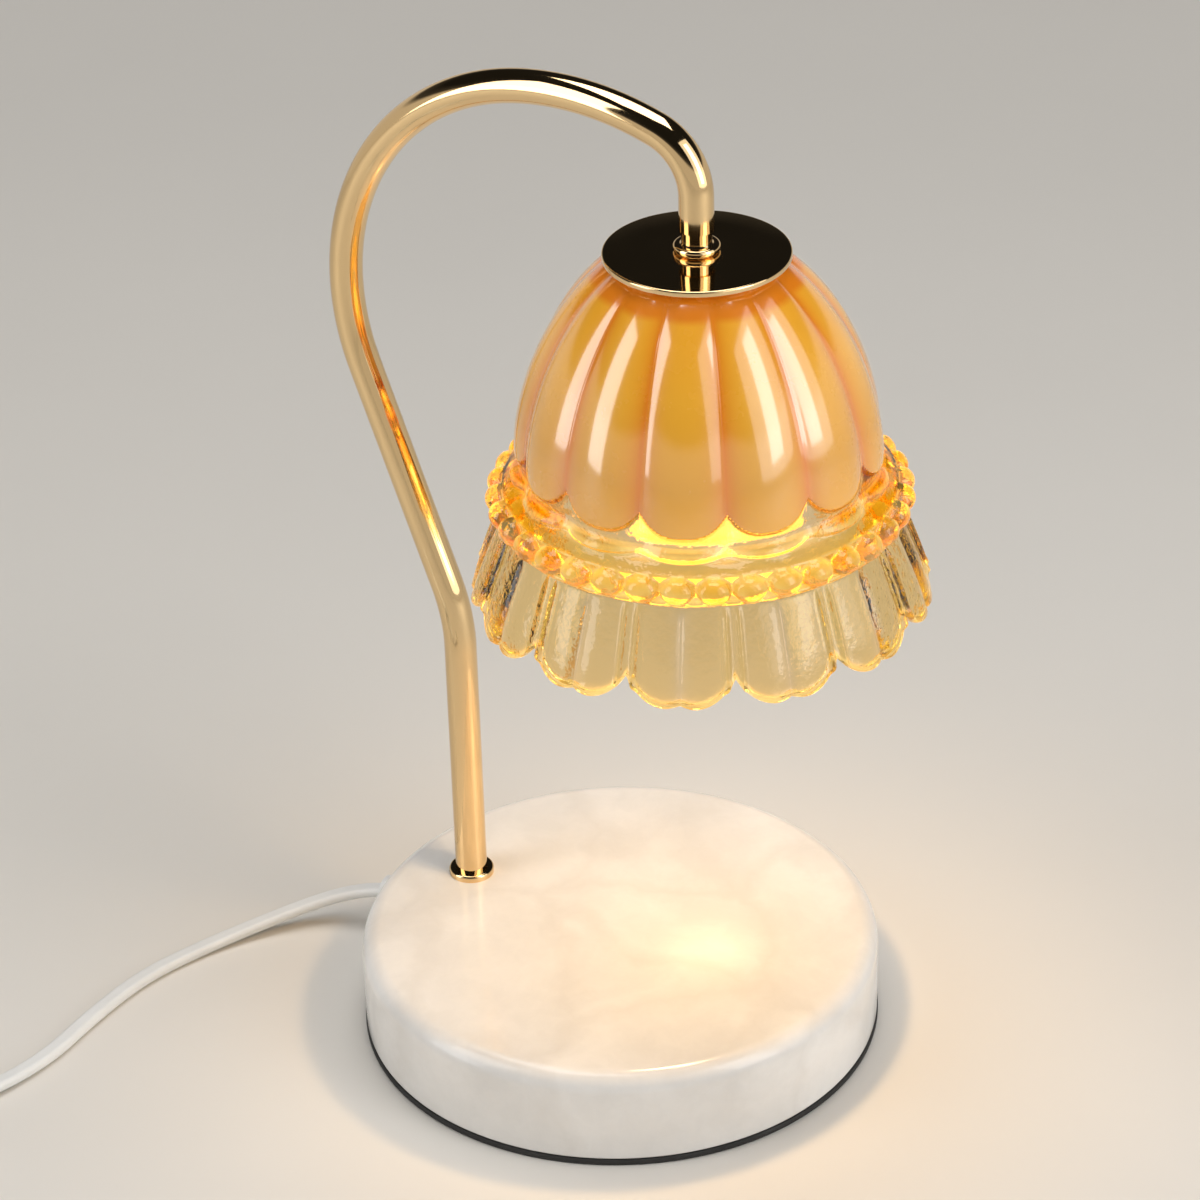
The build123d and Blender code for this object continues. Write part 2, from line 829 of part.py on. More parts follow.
with BuildPart() as holder_bracket:
    with BuildSketch(head_level(bracket_base)):
        Rectangle(2 * bracket_reach, bracket_width)
        Circle(shank_radius + hole_clearance, mode=Mode.SUBTRACT)
    extrude(amount=bracket_thickness)
    for side in (-1, 1):
        with BuildSketch(head_level(holder_top)):
            with Locations((side * (bracket_reach - bracket_thickness / 2), 0)):
                Rectangle(bracket_thickness, bracket_width)
        extrude(amount=bracket_base - holder_top)
        with BuildSketch(head_level(holder_top)):
            with Locations((side * (bracket_reach - bracket_foot / 2), 0)):
                Rectangle(bracket_foot, bracket_width)
            with Locations((side * holder_screw_x, 0)):
                Circle(holder_screw_radius + hole_clearance, mode=Mode.SUBTRACT)
        extrude(amount=bracket_thickness)
holder_bracket.part.label = "holder_bracket"
export_step(holder_bracket.part, "parts/holder_bracket.step")

with BuildPart() as bracket_nut:
    with BuildSketch(head_level(bracket_nut_base)):
        RegularPolygon(shade_nut_across / 2, 6, major_radius=False)
        Circle(shank_radius + thread_clearance, mode=Mode.SUBTRACT)
    extrude(amount=bracket_nut_height)
bracket_nut.part.label = "bracket_nut"
export_step(bracket_nut.part, "parts/bracket_nut.step")

with BuildPart() as lampholder:
    with BuildSketch(head_level(holder_base)):
        Circle(holder_radius)
    extrude(amount=holder_height)
    chamfer(lampholder.edges().filter_by(GeomType.CIRCLE), holder_chamfer)
    for side, track in zip((1, -1), pin_tracks):
        # slot for a pin's neck, with the round opening that lets its head out
        with BuildSketch(head_level(holder_base)):
            SlotArc(track, 2 * (pin_neck_radius + pin_clearance))
            with Locations(track @ 0):
                Circle(pin_head_radius + pin_clearance)
        extrude(amount=holder_face, mode=Mode.SUBTRACT)
        # track of the pin's head, and the chamber of its contact
        with BuildSketch(head_level(contact_base)):
            SlotArc(track, 2 * (pin_head_radius + pin_clearance))
        extrude(amount=pin_head_room, mode=Mode.SUBTRACT)
        with BuildSketch(head_level(contact_base)):
            with Locations((0, side * (chamber_wall + chamber_depth / 2))):
                Rectangle(contact_width + 2 * pin_clearance, chamber_depth)
        extrude(amount=contact_height, mode=Mode.SUBTRACT)
        # hole down to the chamber for the lead
        with BuildSketch(head_level(holder_top)):
            with Locations((0, side * lead_side)):
                Circle(lead_radius + thread_clearance)
        extrude(amount=contact_top - holder_top, mode=Mode.SUBTRACT)
        with BuildSketch(head_level(holder_top)):
            with Locations((side * holder_screw_x, 0)):
                Circle(holder_screw_radius + thread_clearance)
        extrude(amount=-holder_screw_depth, mode=Mode.SUBTRACT)
lampholder.part.label = "lampholder"
export_step(lampholder.part, "parts/lampholder.step")

with BuildPart() as holder_contacts:
    for side in (-1, 1):
        with BuildSketch(head_level(contact_base + pin_clearance)):
            with Locations((0, side * (contact_y + contact_thickness / 2))):
                Rectangle(contact_width, contact_thickness)
        extrude(amount=contact_height - pin_clearance)
        with BuildSketch(head_level(contact_top)):
            with Locations((0, side * (chamber_wall + contact_y + contact_thickness) / 2)):
                Rectangle(contact_width, contact_y + contact_thickness - chamber_wall)
        extrude(amount=-contact_thickness)
holder_contacts.part.label = "holder_contacts"
export_step(holder_contacts.part, "parts/holder_contacts.step")

with BuildPart() as holder_screws:
    for side in (-1, 1):
        with BuildSketch(head_level(holder_top + bracket_thickness)):
            with Locations((side * holder_screw_x, 0)):
                Circle(holder_screw_head)
        extrude(amount=holder_screw_head_height)
        with BuildSketch(head_level(holder_top + bracket_thickness)):
            with Locations((side * holder_screw_x, 0)):
                Circle(holder_screw_radius)
        extrude(amount=-(bracket_thickness + holder_screw_reach))
holder_screws.part.label = "holder_screws"
export_step(holder_screws.part, "parts/holder_screws.step")

# ------------------------------------------------------------------ GU10 lamp
bulb_shoulder = holder_base
bulb_neck = bulb_shoulder - bulb_base_height
bulb_rim_top = bulb_front + bulb_rim

with BuildPart() as bulb_reflector:
    with BuildSketch(head_section):
        with BuildLine():
            Polyline(
                (bulb_radius, bulb_front),
                (bulb_radius, bulb_rim_top),
                (bulb_bowl_radius, (bulb_rim_top + bulb_neck) / 2),
                (bulb_neck_radius, bulb_neck),
                (bulb_neck_radius - bulb_glass, bulb_neck),
                (bulb_bowl_radius - bulb_glass, (bulb_rim_top + bulb_neck) / 2),
                (bulb_radius - bulb_glass, bulb_rim_top),
                (bulb_radius - bulb_glass, bulb_front),
                close=True,
            )
        make_face()
    revolve(axis=head_axis)
bulb_reflector.part.label = "bulb_reflector"
export_step(bulb_reflector.part, "parts/bulb_reflector.step")

with BuildPart() as bulb_lens:
    with BuildSketch(head_level(bulb_front)):
        Circle(bulb_radius - bulb_glass)
    extrude(amount=bulb_rim)
bulb_lens.part.label = "bulb_lens"
export_step(bulb_lens.part, "parts/bulb_lens.step")

with BuildPart() as bulb_base:
    with BuildSketch(head_level(bulb_neck)):
        Circle(bulb_neck_radius)
    extrude(amount=bulb_drum_height)
    with BuildSketch(head_level(bulb_neck + bulb_drum_height)):
        Circle(bulb_cap_radius)
    extrude(amount=bulb_base_height - bulb_drum_height)
    chamfer(bulb_base.faces().sort_by(Axis.Z)[-1].edges(), holder_chamfer)
bulb_base.part.label = "bulb_base"
export_step(bulb_base.part, "parts/bulb_base.step")

with BuildPart() as bulb_pins:
    for side in (-1, 1):
        with BuildSketch(head_level(bulb_shoulder)):
            with Locations((0, side * pin_circle)):
                Circle(pin_neck_radius)
        extrude(amount=pin_neck_length)
        with BuildSketch(head_level(bulb_shoulder + pin_neck_length)):
            with Locations((0, side * pin_circle)):
                Circle(pin_head_radius)
        extrude(amount=pin_head_length)
bulb_pins.part.label = "bulb_pins"
export_step(bulb_pins.part, "parts/bulb_pins.step")

with BuildPart() as bulb_burner:
    with BuildSketch(head_level(bulb_neck)):
        Circle(burner_radius)
    extrude(amount=-burner_length)
    fillet(bulb_burner.faces().sort_by(Axis.Z)[0].edges(), burner_round)
bulb_burner.part.label = "bulb_burner"
export_step(bulb_burner.part, "parts/bulb_burner.step")

# ------------------------------------------------------------------ in-line dimmer
screw_places = [(x, y) for x in (-screw_x, screw_x) for y in (-screw_y, screw_y)]

with BuildPart() as dimmer_case_bottom:
    with BuildSketch(dimmer_level(0)):
        RectangleRounded(dimmer_length, dimmer_width, dimmer_corner)
    extrude(amount=dimmer_split)
    fillet(dimmer_case_bottom.faces().sort_by(Axis.Z)[0].edges(), dimmer_edge_round)
    with BuildSketch(dimmer_level(dimmer_wall)):
        RectangleRounded(inner_length, inner_width, inner_corner)
    extrude(amount=dimmer_split - dimmer_wall, mode=Mode.SUBTRACT)
    with BuildSketch(dimmer_level(dimmer_wall)):
        with Locations(*screw_places):
            Circle(screw_post_radius)
    extrude(amount=dimmer_split - dimmer_wall)
    with BuildSketch(dimmer_level(dimmer_wall)):
        with Locations((-board_rib_x, 0), (board_rib_x, 0)):
            Rectangle(board_rib, inner_width)
    extrude(amount=board_height - dimmer_wall)
    with BuildSketch(dimmer_level(0)):
        with Locations(*screw_places):
            Circle(screw_head_radius + hole_clearance)
    extrude(amount=screw_recess + screw_head_height, mode=Mode.SUBTRACT)
    with BuildSketch(dimmer_level(0)):
        with Locations(*screw_places):
            Circle(screw_radius + hole_clearance)
    extrude(amount=dimmer_split, mode=Mode.SUBTRACT)
    with BuildSketch(dimmer_cross(-half_length)):
        Circle(sleeve_neck_radius)
    extrude(amount=dimmer_wall, mode=Mode.SUBTRACT)
    with BuildSketch(dimmer_cross(half_length)):
        Circle(sleeve_neck_radius)
    extrude(amount=-dimmer_wall, mode=Mode.SUBTRACT)
dimmer_case_bottom.part.label = "dimmer_case_bottom"
export_step(dimmer_case_bottom.part, "parts/dimmer_case_bottom.step")

with BuildPart() as dimmer_case_top:
    with BuildSketch(dimmer_level(dimmer_split)):
        RectangleRounded(dimmer_length, dimmer_width, dimmer_corner)
    extrude(amount=dimmer_height - dimmer_split)
    fillet(dimmer_case_top.faces().sort_by(Axis.Z)[-1].edges(), dimmer_crown_round)
    with BuildSketch(dimmer_level(dimmer_split)):
        RectangleRounded(inner_length, inner_width, inner_corner)
    extrude(amount=ceiling - dimmer_split, mode=Mode.SUBTRACT)
    with BuildSketch(dimmer_level(dimmer_split)):
        with Locations(*screw_places):
            Circle(screw_boss_radius)
    extrude(amount=ceiling - dimmer_split)
    with BuildSketch(dimmer_level(wheel_top + boss_gap)):
        with Locations((0, wheel_offset)):
            Circle(boss_radius)
    extrude(amount=ceiling - wheel_top - boss_gap)
    with BuildSketch(dimmer_level(wheel_top + boss_gap)):
        with Locations((0, wheel_offset)):
            Circle(shaft_radius + shaft_clearance)
    extrude(amount=shaft_top - wheel_top, mode=Mode.SUBTRACT)
    with BuildSketch(dimmer_level(dimmer_split)):
        with Locations(*screw_places):
            Circle(screw_radius + thread_clearance)
    extrude(amount=screw_length, mode=Mode.SUBTRACT)
    # slot that the wheel's edge stands out of
    with BuildSketch(dimmer_level(dimmer_split)):
        with Locations((0, -half_width)):
            Rectangle(wheel_slot, 2 * dimmer_wall)
    extrude(amount=wheel_top + wheel_gap - dimmer_split, mode=Mode.SUBTRACT)
    with BuildSketch(dimmer_cross(-half_length)):
        Circle(sleeve_neck_radius)
    extrude(amount=dimmer_wall, mode=Mode.SUBTRACT)
    with BuildSketch(dimmer_cross(half_length)):
        Circle(sleeve_neck_radius)
    extrude(amount=-dimmer_wall, mode=Mode.SUBTRACT)
dimmer_case_top.part.label = "dimmer_case_top"
export_step(dimmer_case_top.part, "parts/dimmer_case_top.step")

with BuildPart() as dimmer_wheel:
    with BuildSketch(dimmer_level(wheel_base)):
        with Locations((0, wheel_offset)):
            Circle(wheel_radius)
            with PolarLocations(wheel_radius, wheel_notches):
                Circle(wheel_notch_radius, mode=Mode.SUBTRACT)
            Circle(shaft_radius + thread_clearance, mode=Mode.SUBTRACT)
    extrude(amount=wheel_thickness)
dimmer_wheel.part.label = "dimmer_wheel"
export_step(dimmer_wheel.part, "parts/dimmer_wheel.step")

with BuildPart() as dimmer_shaft:
    with BuildSketch(dimmer_level(board_top + boss_gap)):
        with Locations((0, wheel_offset)):
            Circle(shaft_radius)
    extrude(amount=shaft_top - board_top - boss_gap)
dimmer_shaft.part.label = "dimmer_shaft"
export_step(dimmer_shaft.part, "parts/dimmer_shaft.step")

with BuildPart() as dimmer_board:
    with BuildSketch(dimmer_level(board_height)):
        Rectangle(board_length, board_width)
    extrude(amount=board_thickness)
dimmer_board.part.label = "dimmer_board"
export_step(dimmer_board.part, "parts/dimmer_board.step")

with BuildPart() as dimmer_potentiometer:
    with BuildSketch(dimmer_level(board_top)):
        with Locations((0, wheel_offset)):
            Rectangle(pot_size, pot_size)
            Circle(shaft_radius + shaft_clearance, mode=Mode.SUBTRACT)
    extrude(amount=pot_height)
dimmer_potentiometer.part.label = "dimmer_potentiometer"
export_step(dimmer_potentiometer.part, "parts/dimmer_potentiometer.step")

with BuildPart() as dimmer_terminals:
    with BuildSketch(dimmer_level(board_top)):
        with Locations(
            (-(board_length - terminal_length) / 2, 0), ((board_length - terminal_length) / 2, 0)
        ):
            Rectangle(terminal_length, terminal_width)
    extrude(amount=terminal_height)
dimmer_terminals.part.label = "dimmer_terminals"
export_step(dimmer_terminals.part, "parts/dimmer_terminals.step")

with BuildPart() as dimmer_screws:
    with BuildSketch(dimmer_level(screw_recess)):
        with Locations(*screw_places):
            Circle(screw_head_radius)
    extrude(amount=screw_head_height)
    with BuildSketch(dimmer_level(screw_recess + screw_head_height)):
        with Locations(*screw_places):
            Circle(screw_radius)
    extrude(amount=screw_length)
dimmer_screws.part.label = "dimmer_screws"
export_step(dimmer_screws.part, "parts/dimmer_screws.step")

# ------------------------------------------------------------------ supply cord, coil, plug
supply_course = cord_course(
    "supply_cord",
    [dimmer_point(sheath_end), dimmer_point(half_length + entry_run)] + supply_cord_points,
)
plug_entry = tuple(plug.from_local_coords((plug_cord_depth - plug_length - plug_relief, 0, 0)))
plug_course = cord_course("plug_cord", plug_cord_points + [plug_entry])

with BuildPart() as supply_cord:
    with BuildSketch(cord_start(supply_course)):
        SlotOverall(cord_width, cord_thickness)
    sweep(path=supply_course)
supply_cord.part.label = "supply_cord"
export_step(supply_cord.part, "parts/supply_cord.step")
report_cord("supply_cord", supply_cord.part, supply_course)

with BuildPart() as plug_cord:
    with BuildSketch(cord_start(plug_course)):
        SlotOverall(cord_width, cord_thickness)
    sweep(path=plug_course)
plug_cord.part.label = "plug_cord"
export_step(plug_cord.part, "parts/plug_cord.step")
report_cord("plug_cord", plug_cord.part, plug_course)

# Wire tie round the coil's turns, pressed into their lower side
tie_plane = Plane(
    origin=(
        coil_x + coil_radius * cos(radians(tie_angle)),
        coil_y + coil_radius * sin(radians(tie_angle)),
        (coil_height + tie_thickness) / 2,
    ),
    x_dir=(cos(radians(tie_angle)), sin(radians(tie_angle)), 0),
    z_dir=(-sin(radians(tie_angle)), cos(radians(tie_angle)), 0),
)
with BuildPart() as coil_tie:
    with BuildSketch(tie_plane.offset(-tie_width / 2)):
        RectangleRounded(coil_width + 2 * tie_thickness, coil_height + tie_thickness, coil_bevel)
        Rectangle(coil_width, coil_height - tie_thickness, mode=Mode.SUBTRACT)
    extrude(amount=tie_width)
coil_tie.part.label = "coil_tie"
export_step(coil_tie.part, "parts/coil_tie.step")

with BuildPart() as cord_coil:
    with BuildSketch(Plane(origin=(coil_x, coil_y, 0))):
        Circle(coil_radius + coil_width / 2)
        Circle(coil_radius - coil_width / 2, mode=Mode.SUBTRACT)
    extrude(amount=coil_height)
    chamfer(cord_coil.edges().filter_by(GeomType.CIRCLE), coil_bevel)
    add(supply_cord.part, mode=Mode.SUBTRACT)
    add(plug_cord.part, mode=Mode.SUBTRACT)
    add(coil_tie.part, mode=Mode.SUBTRACT)
cord_coil.part.label = "cord_coil"
export_step(cord_coil.part, "parts/cord_coil.step")

supply_passage = cord_passage(supply_course)
with BuildPart() as dimmer_sleeve_in:
    with BuildSketch(dimmer_cross(-half_length + dimmer_wall)):
        Circle(sleeve_flange_radius)
    extrude(amount=sleeve_flange)
    with BuildSketch(dimmer_cross(-half_length + dimmer_wall)):
        Circle(sleeve_neck_radius)
    extrude(amount=-dimmer_wall)
    with BuildSketch(dimmer_cross(-half_length)):
        Circle(sleeve_root_radius)
    with BuildSketch(dimmer_cross(-half_length - sleeve_length)):
        Circle(sleeve_tip_radius)
    loft()
    add(lamp_passage, mode=Mode.SUBTRACT)
dimmer_sleeve_in.part.label = "dimmer_sleeve_in"
export_step(dimmer_sleeve_in.part, "parts/dimmer_sleeve_in.step")

with BuildPart() as dimmer_sleeve_out:
    with BuildSketch(dimmer_cross(half_length - dimmer_wall)):
        Circle(sleeve_flange_radius)
    extrude(amount=-sleeve_flange)
    with BuildSketch(dimmer_cross(half_length - dimmer_wall)):
        Circle(sleeve_neck_radius)
    extrude(amount=dimmer_wall)
    with BuildSketch(dimmer_cross(half_length)):
        Circle(sleeve_root_radius)
    with BuildSketch(dimmer_cross(half_length + sleeve_length)):
        Circle(sleeve_tip_radius)
    loft()
    add(supply_passage, mode=Mode.SUBTRACT)
dimmer_sleeve_out.part.label = "dimmer_sleeve_out"
export_step(dimmer_sleeve_out.part, "parts/dimmer_sleeve_out.step")

with BuildPart() as plug_blades:
    for side in (-1, 1):
        with BuildSketch(plug_cross(-blade_depth)):
            with Locations((side * blade_spacing / 2, 0)):
                Rectangle(blade_thickness, blade_height)
        extrude(amount=blade_depth + blade_length)
        with BuildSketch(Plane(origin=plug.origin, x_dir=plug.x_dir, z_dir=plug.y_dir)):
            with Locations((blade_hole_place, 0)):
                Circle(blade_hole_radius)
        extrude(amount=side * blade_spacing, mode=Mode.SUBTRACT)
plug_blades.part.label = "plug_blades"
export_step(plug_blades.part, "parts/plug_blades.step")

plug_passage = cord_passage(plug_course)
with BuildPart() as plug_body:
    with BuildSketch(plug_cross(0)):
        RectangleRounded(plug_width, plug_height, plug_corner)
    with BuildSketch(plug_cross(-plug_length)):
        RectangleRounded(plug_back_width, plug_back_height, plug_corner)
    loft()
    with BuildSketch(plug_cross(-plug_length)):
        Circle(plug_back_height / 2)
    with BuildSketch(plug_cross(-plug_length - plug_relief)):
        Circle(plug_relief_radius)
    loft()
    add(plug_blades.part, mode=Mode.SUBTRACT)
    add(plug_passage, mode=Mode.SUBTRACT)
plug_body.part.label = "plug_body"
export_step(plug_body.part, "parts/plug_body.step")
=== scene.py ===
from math import cos, exp, pi, radians, sin, sqrt

import bpy
from bpy.props import FloatProperty, FloatVectorProperty, IntProperty, PointerProperty
from bpy.types import Operator, Panel, PropertyGroup
from mathutils import Matrix, Vector


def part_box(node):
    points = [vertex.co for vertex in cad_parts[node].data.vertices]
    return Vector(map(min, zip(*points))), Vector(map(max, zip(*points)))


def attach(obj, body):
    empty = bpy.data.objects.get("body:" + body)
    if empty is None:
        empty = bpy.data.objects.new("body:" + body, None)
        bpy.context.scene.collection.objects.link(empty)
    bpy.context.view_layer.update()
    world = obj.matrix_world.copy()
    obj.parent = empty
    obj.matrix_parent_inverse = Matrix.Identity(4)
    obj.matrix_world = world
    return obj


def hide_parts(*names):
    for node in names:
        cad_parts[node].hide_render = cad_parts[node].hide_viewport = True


bl_info = {
    "name": "Candle warmer lamp",
    "version": (1, 0, 0),
    "blender": (4, 5, 0),
    "location": "View3D > Sidebar > Lamp",
    "description": "Dresses a candle warmer lamp: marble base, gold tube and pressed glass shade",
    "category": "Add Mesh",
}

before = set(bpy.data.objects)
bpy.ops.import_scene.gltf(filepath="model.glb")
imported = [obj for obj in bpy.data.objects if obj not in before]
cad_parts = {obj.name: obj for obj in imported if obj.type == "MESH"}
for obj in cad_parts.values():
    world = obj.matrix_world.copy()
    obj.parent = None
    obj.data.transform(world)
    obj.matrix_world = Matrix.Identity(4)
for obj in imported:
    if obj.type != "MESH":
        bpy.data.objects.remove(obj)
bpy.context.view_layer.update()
MM = 0.001

# Places that come from the frame, in metres
base_low, base_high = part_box("marble_base")
pad_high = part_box("base_pad")[1]
ring_low, ring_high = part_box("foot_ring")
cap_low, cap_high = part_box("shade_cap")
neck_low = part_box("neck_fitting")[0]
shade_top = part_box("glass_shade")[1].z
head = Vector(((cap_low.x + cap_high.x) / 2, 0, 0))
foot = Vector(((ring_low.x + ring_high.x) / 2, 0, 0))

# Where the shade's forms change: drops from its top, and a radius outside it, in metres
dome_foot = 0.0625
ledge_top, ledge_foot = 0.0658, 0.0674
past_shade = 0.08


# ------------------------------------------------------------------ sizes and colours
def length(name, description, millimetres):
    """A size property, given in millimetres and kept in metres."""
    return FloatProperty(
        name=name,
        description=description,
        default=millimetres * MM,
        subtype="DISTANCE",
        unit="LENGTH",
        precision=5,
    )


def angle(name, description, degrees):
    """An angle property, given in degrees and kept in radians."""
    return FloatProperty(
        name=name,
        description=description,
        default=radians(degrees),
        subtype="ANGLE",
        unit="ROTATION",
    )


def colour(name, description, red, green, blue):
    """A colour property in scene-linear values."""
    return FloatVectorProperty(
        name=name,
        description=description,
        default=(red, green, blue),
        size=3,
        min=0,
        max=1,
        subtype="COLOR",
    )


class BaseSizes(PropertyGroup):
    """Sizes of the round foot"""

    edge_round: length("Edge round", "Radius of the marble's upper edge", 6)
    lower_bevel: length("Lower bevel", "Bevel of the marble's lower edge", 1)
    pad_round: length("Pad round", "Radius of the pad's edge", 0.6)
    marble_colour: colour("Marble", "Ground colour of the marble", 0.80, 0.785, 0.76)
    vein_colour: colour("Veins", "Colour of the marble's faint veins", 0.62, 0.59, 0.55)
    pad_colour: colour("Pad", "Colour of the soft pad", 0.018, 0.017, 0.016)


class ArmSizes(PropertyGroup):
    """Sizes of the bent tube and the turned fittings"""

    tube_radius: length("Tube radius", "Outside radius of the tube", 5)
    lean_start: length("Lean start", "Height where the upright tube starts to lean", 115.7)
    lean_radius: length("Lean radius", "Bend radius of the lean", 61.3)
    lean_angle: angle("Lean", "How far the tube leans outward", 20.7)
    run_length: length("Run", "Length of the straight leaning run", 73)
    hook_radius: length("Hook radius", "Bend radius of the hook", 76.6)
    hook_angle: angle("Hook angle", "Turn of the hook", 99.85)
    crown_radius: length("Crown radius", "Bend radius past the hook's top", 92.6)
    crown_angle: angle("Crown angle", "Turn of the crown", 29.67)
    nose_radius: length("Nose radius", "Bend radius down into the head", 18.2)
    nose_drop: length("Nose drop", "Straight end of the tube over the head", 9.9)
    neck_radius: length("Neck radius", "Radius of the neck under the tube", 4.35)
    neck_length: length("Neck length", "Length of the neck", 4)
    collar_radius: length("Collar radius", "Radius of the turned collar", 6.75)
    collar_height: length("Collar height", "Height of the turned collar", 2.5)
    gold_colour: colour("Gold", "Colour of the polished plating", 0.84, 0.605, 0.32)


class ShadeSizes(PropertyGroup):
    """Sizes of the pressed glass shade, down from its top"""

    lobes: IntProperty(
        name="Lobes", description="Flutes of the dome and petals of the skirt", default=13, min=3
    )
    beads: IntProperty(name="Beads", description="Beads round the rim", default=36, min=3)
    lobe_phase: angle("Lobe phase", "Direction of the first groove", 4.9)
    bead_phase: angle("Bead phase", "Direction of the first bead", 4.7)
    dome_radius: length("Dome radius", "Largest radius of the dome", 53)
    dome_belly: length("Dome belly", "Drop of the dome's widest place", 58.2)
    dome_rise: length("Dome rise", "Height that the dome's curve would close in", 66)
    groove: length("Groove", "Depth of the grooves at the dome's belly", 2.3)
    groove_top: length("Groove at top", "Depth of the grooves at the dome's top", 1.3)
    wall: length("Wall", "Thickness of the glass", 2.8)
    hole_radius: length("Hole radius", "Radius of the hole for the neck", 5.6)
    rim_radius: length("Rim radius", "Radius of the rim behind the beads", 57.2)
    lip_radius: length("Lip radius", "Radius of the lip under the beads", 59.5)
    bead_drop: length("Bead drop", "Drop of the beads' middle", 74.2)
    bead_ring: length("Bead ring", "Radius of the ring of beads", 58)
    bead_width: length("Bead width", "Half the width of a bead", 4.9)
    bead_height: length("Bead height", "Half the height of a bead", 3.9)
    skirt_drop: length("Skirt drop", "Drop of the skirt's upper edge", 78.2)
    skirt_height: length("Skirt height", "Height of the skirt", 29)
    skirt_radius: length("Skirt radius", "Radius of the skirt's upper edge", 57)
    skirt_groove: length("Skirt groove", "Depth of the grooves at the petals' edge", 2.4)
    petal_rise: length("Petal rise", "How far the edge rises between petals", 8.0)
    coat_drop: length("Coat drop", "Drop of the coating's edge under a flute", 60.5)
    tip_rise: length("Tip rise", "How far the flutes' round tips rise at the grooves", 6.5)
    glass_colour: colour("Glass", "Tint of the clear glass", 1.0, 0.79, 0.54)
    depth_colour: colour("Glass depth", "Colour of thick glass", 1.0, 0.86, 0.08)
    pearl_colour: colour("Pearl", "Colour of the coating on the flutes", 0.77, 0.35, 0.014)
    # painted glow: colours that the clear glass gives off at beads and rims, standing in for the
    # bulb's light
    painted_glow_colour: colour("Glow", "Gold light in the beads and rims", 1.0, 0.72, 0.24)
    painted_deep_glow_colour: colour("Deep glow", "Orange light in the beads and rims", 0.80, 0.40, 0.04)
    # painted shade: deep orange for the coating's grooves and for a band under the cap
    groove_shade_colour: colour("Pearl grooves", "Colour of the coating's grooves", 0.68, 0.19, 0.008)


class CordSizes(PropertyGroup):
    """Sizes of the flat two-core cord and its coil"""

    width: length("Width", "Width of the flat cord", 5.6)
    thickness: length("Thickness", "Thickness of the flat cord", 3.4)
    coil_x: length("Coil X", "Middle of the coil", -119)
    coil_y: length("Coil Y", "Middle of the coil", -233.6)
    coil_radius: length("Coil radius", "Radius of the coil's middle turn", 28)
    cord_colour: colour("Cord", "Colour of the cord, dimmer and plug", 0.80, 0.80, 0.78)


class StageSettings(PropertyGroup):
    """Camera, lamps and floor"""

    camera_place: FloatVectorProperty(
        name="Camera place",
        description="Where the camera stands",
        default=(0.5461, -0.8458, 0.74685),
        subtype="TRANSLATION",
        unit="LENGTH",
    )
    heading: angle("Heading", "Camera's direction, turned from +Y", 33.03)
    pitch: angle("Pitch", "How far the camera looks down", 30.711)
    roll: angle("Roll", "Camera's roll", 1.666)
    lens: FloatProperty(name="Lens", description="Focal length in mm", default=118.262)
    floor_colour: colour("Floor", "Colour of the table top", 0.76, 0.725, 0.67)
    distance_colour: colour("Distance", "Colour of the far table and backdrop", 0.58, 0.55, 0.505)


# ------------------------------------------------------------------ mesh helpers
def put(name, data):
    """Put an object with this data in the scene."""
    item = bpy.data.objects.new(name, data)
    bpy.context.scene.collection.objects.link(item)
    return item


def add_piece(name, vertices, faces, body, material, node=None):
    """Make a smooth mesh piece that rides on a body and may stand for a node."""
    mesh = bpy.data.meshes.new(name)
    mesh.from_pydata(vertices, [], faces)
    mesh.validate()
    mesh.polygons.foreach_set("use_smooth", [True] * len(mesh.polygons))
    mesh.materials.append(material)
    piece = put(name, mesh)
    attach(piece, body)
    if node:
        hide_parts(node)
    return piece


def grid_faces(rows, columns, loop_rows=False):
    """Faces of rows of points that close round, outward for rows that run downward."""
    faces = []
    for row in range(rows if loop_rows else rows - 1):
        below = (row + 1) % rows
        for column in range(columns):
            beside = (column + 1) % columns
            corners = ((row, column), (below, column), (below, beside), (row, beside))
            faces.append(tuple(level * columns + place for level, place in corners))
    return faces


def turned(name, outline, centre, body, material, node=None, segments=128, loop=False):
    """Turn an outline of (radius, height) points round an upright axis, from the top down.

    An outline that starts and ends on the axis is closed; with loop it closes on itself.
    """
    vertices = []
    for radius, height in outline:
        for step in range(segments):
            turn = 2 * pi * step / segments
            vertices.append((centre.x + radius * cos(turn), centre.y + radius * sin(turn), height))
    faces = grid_faces(len(outline), segments, loop)
    piece = add_piece(name, vertices, faces, body, material, node)
    if not loop:
        weld = piece.modifiers.new("close", "WELD")
        weld.merge_threshold = 0.00001
    piece.data.set_sharp_from_angle(angle=radians(40))
    return piece


def rounded(centre_radius, centre_height, radius, first, last, steps=8):
    """Points of a round corner between two directions in degrees, 0 outward and 90 up."""
    points = []
    for step in range(steps + 1):
        turn = radians(first + (last - first) * step / steps)
        points.append((centre_radius + radius * cos(turn), centre_height + radius * sin(turn)))
    return points


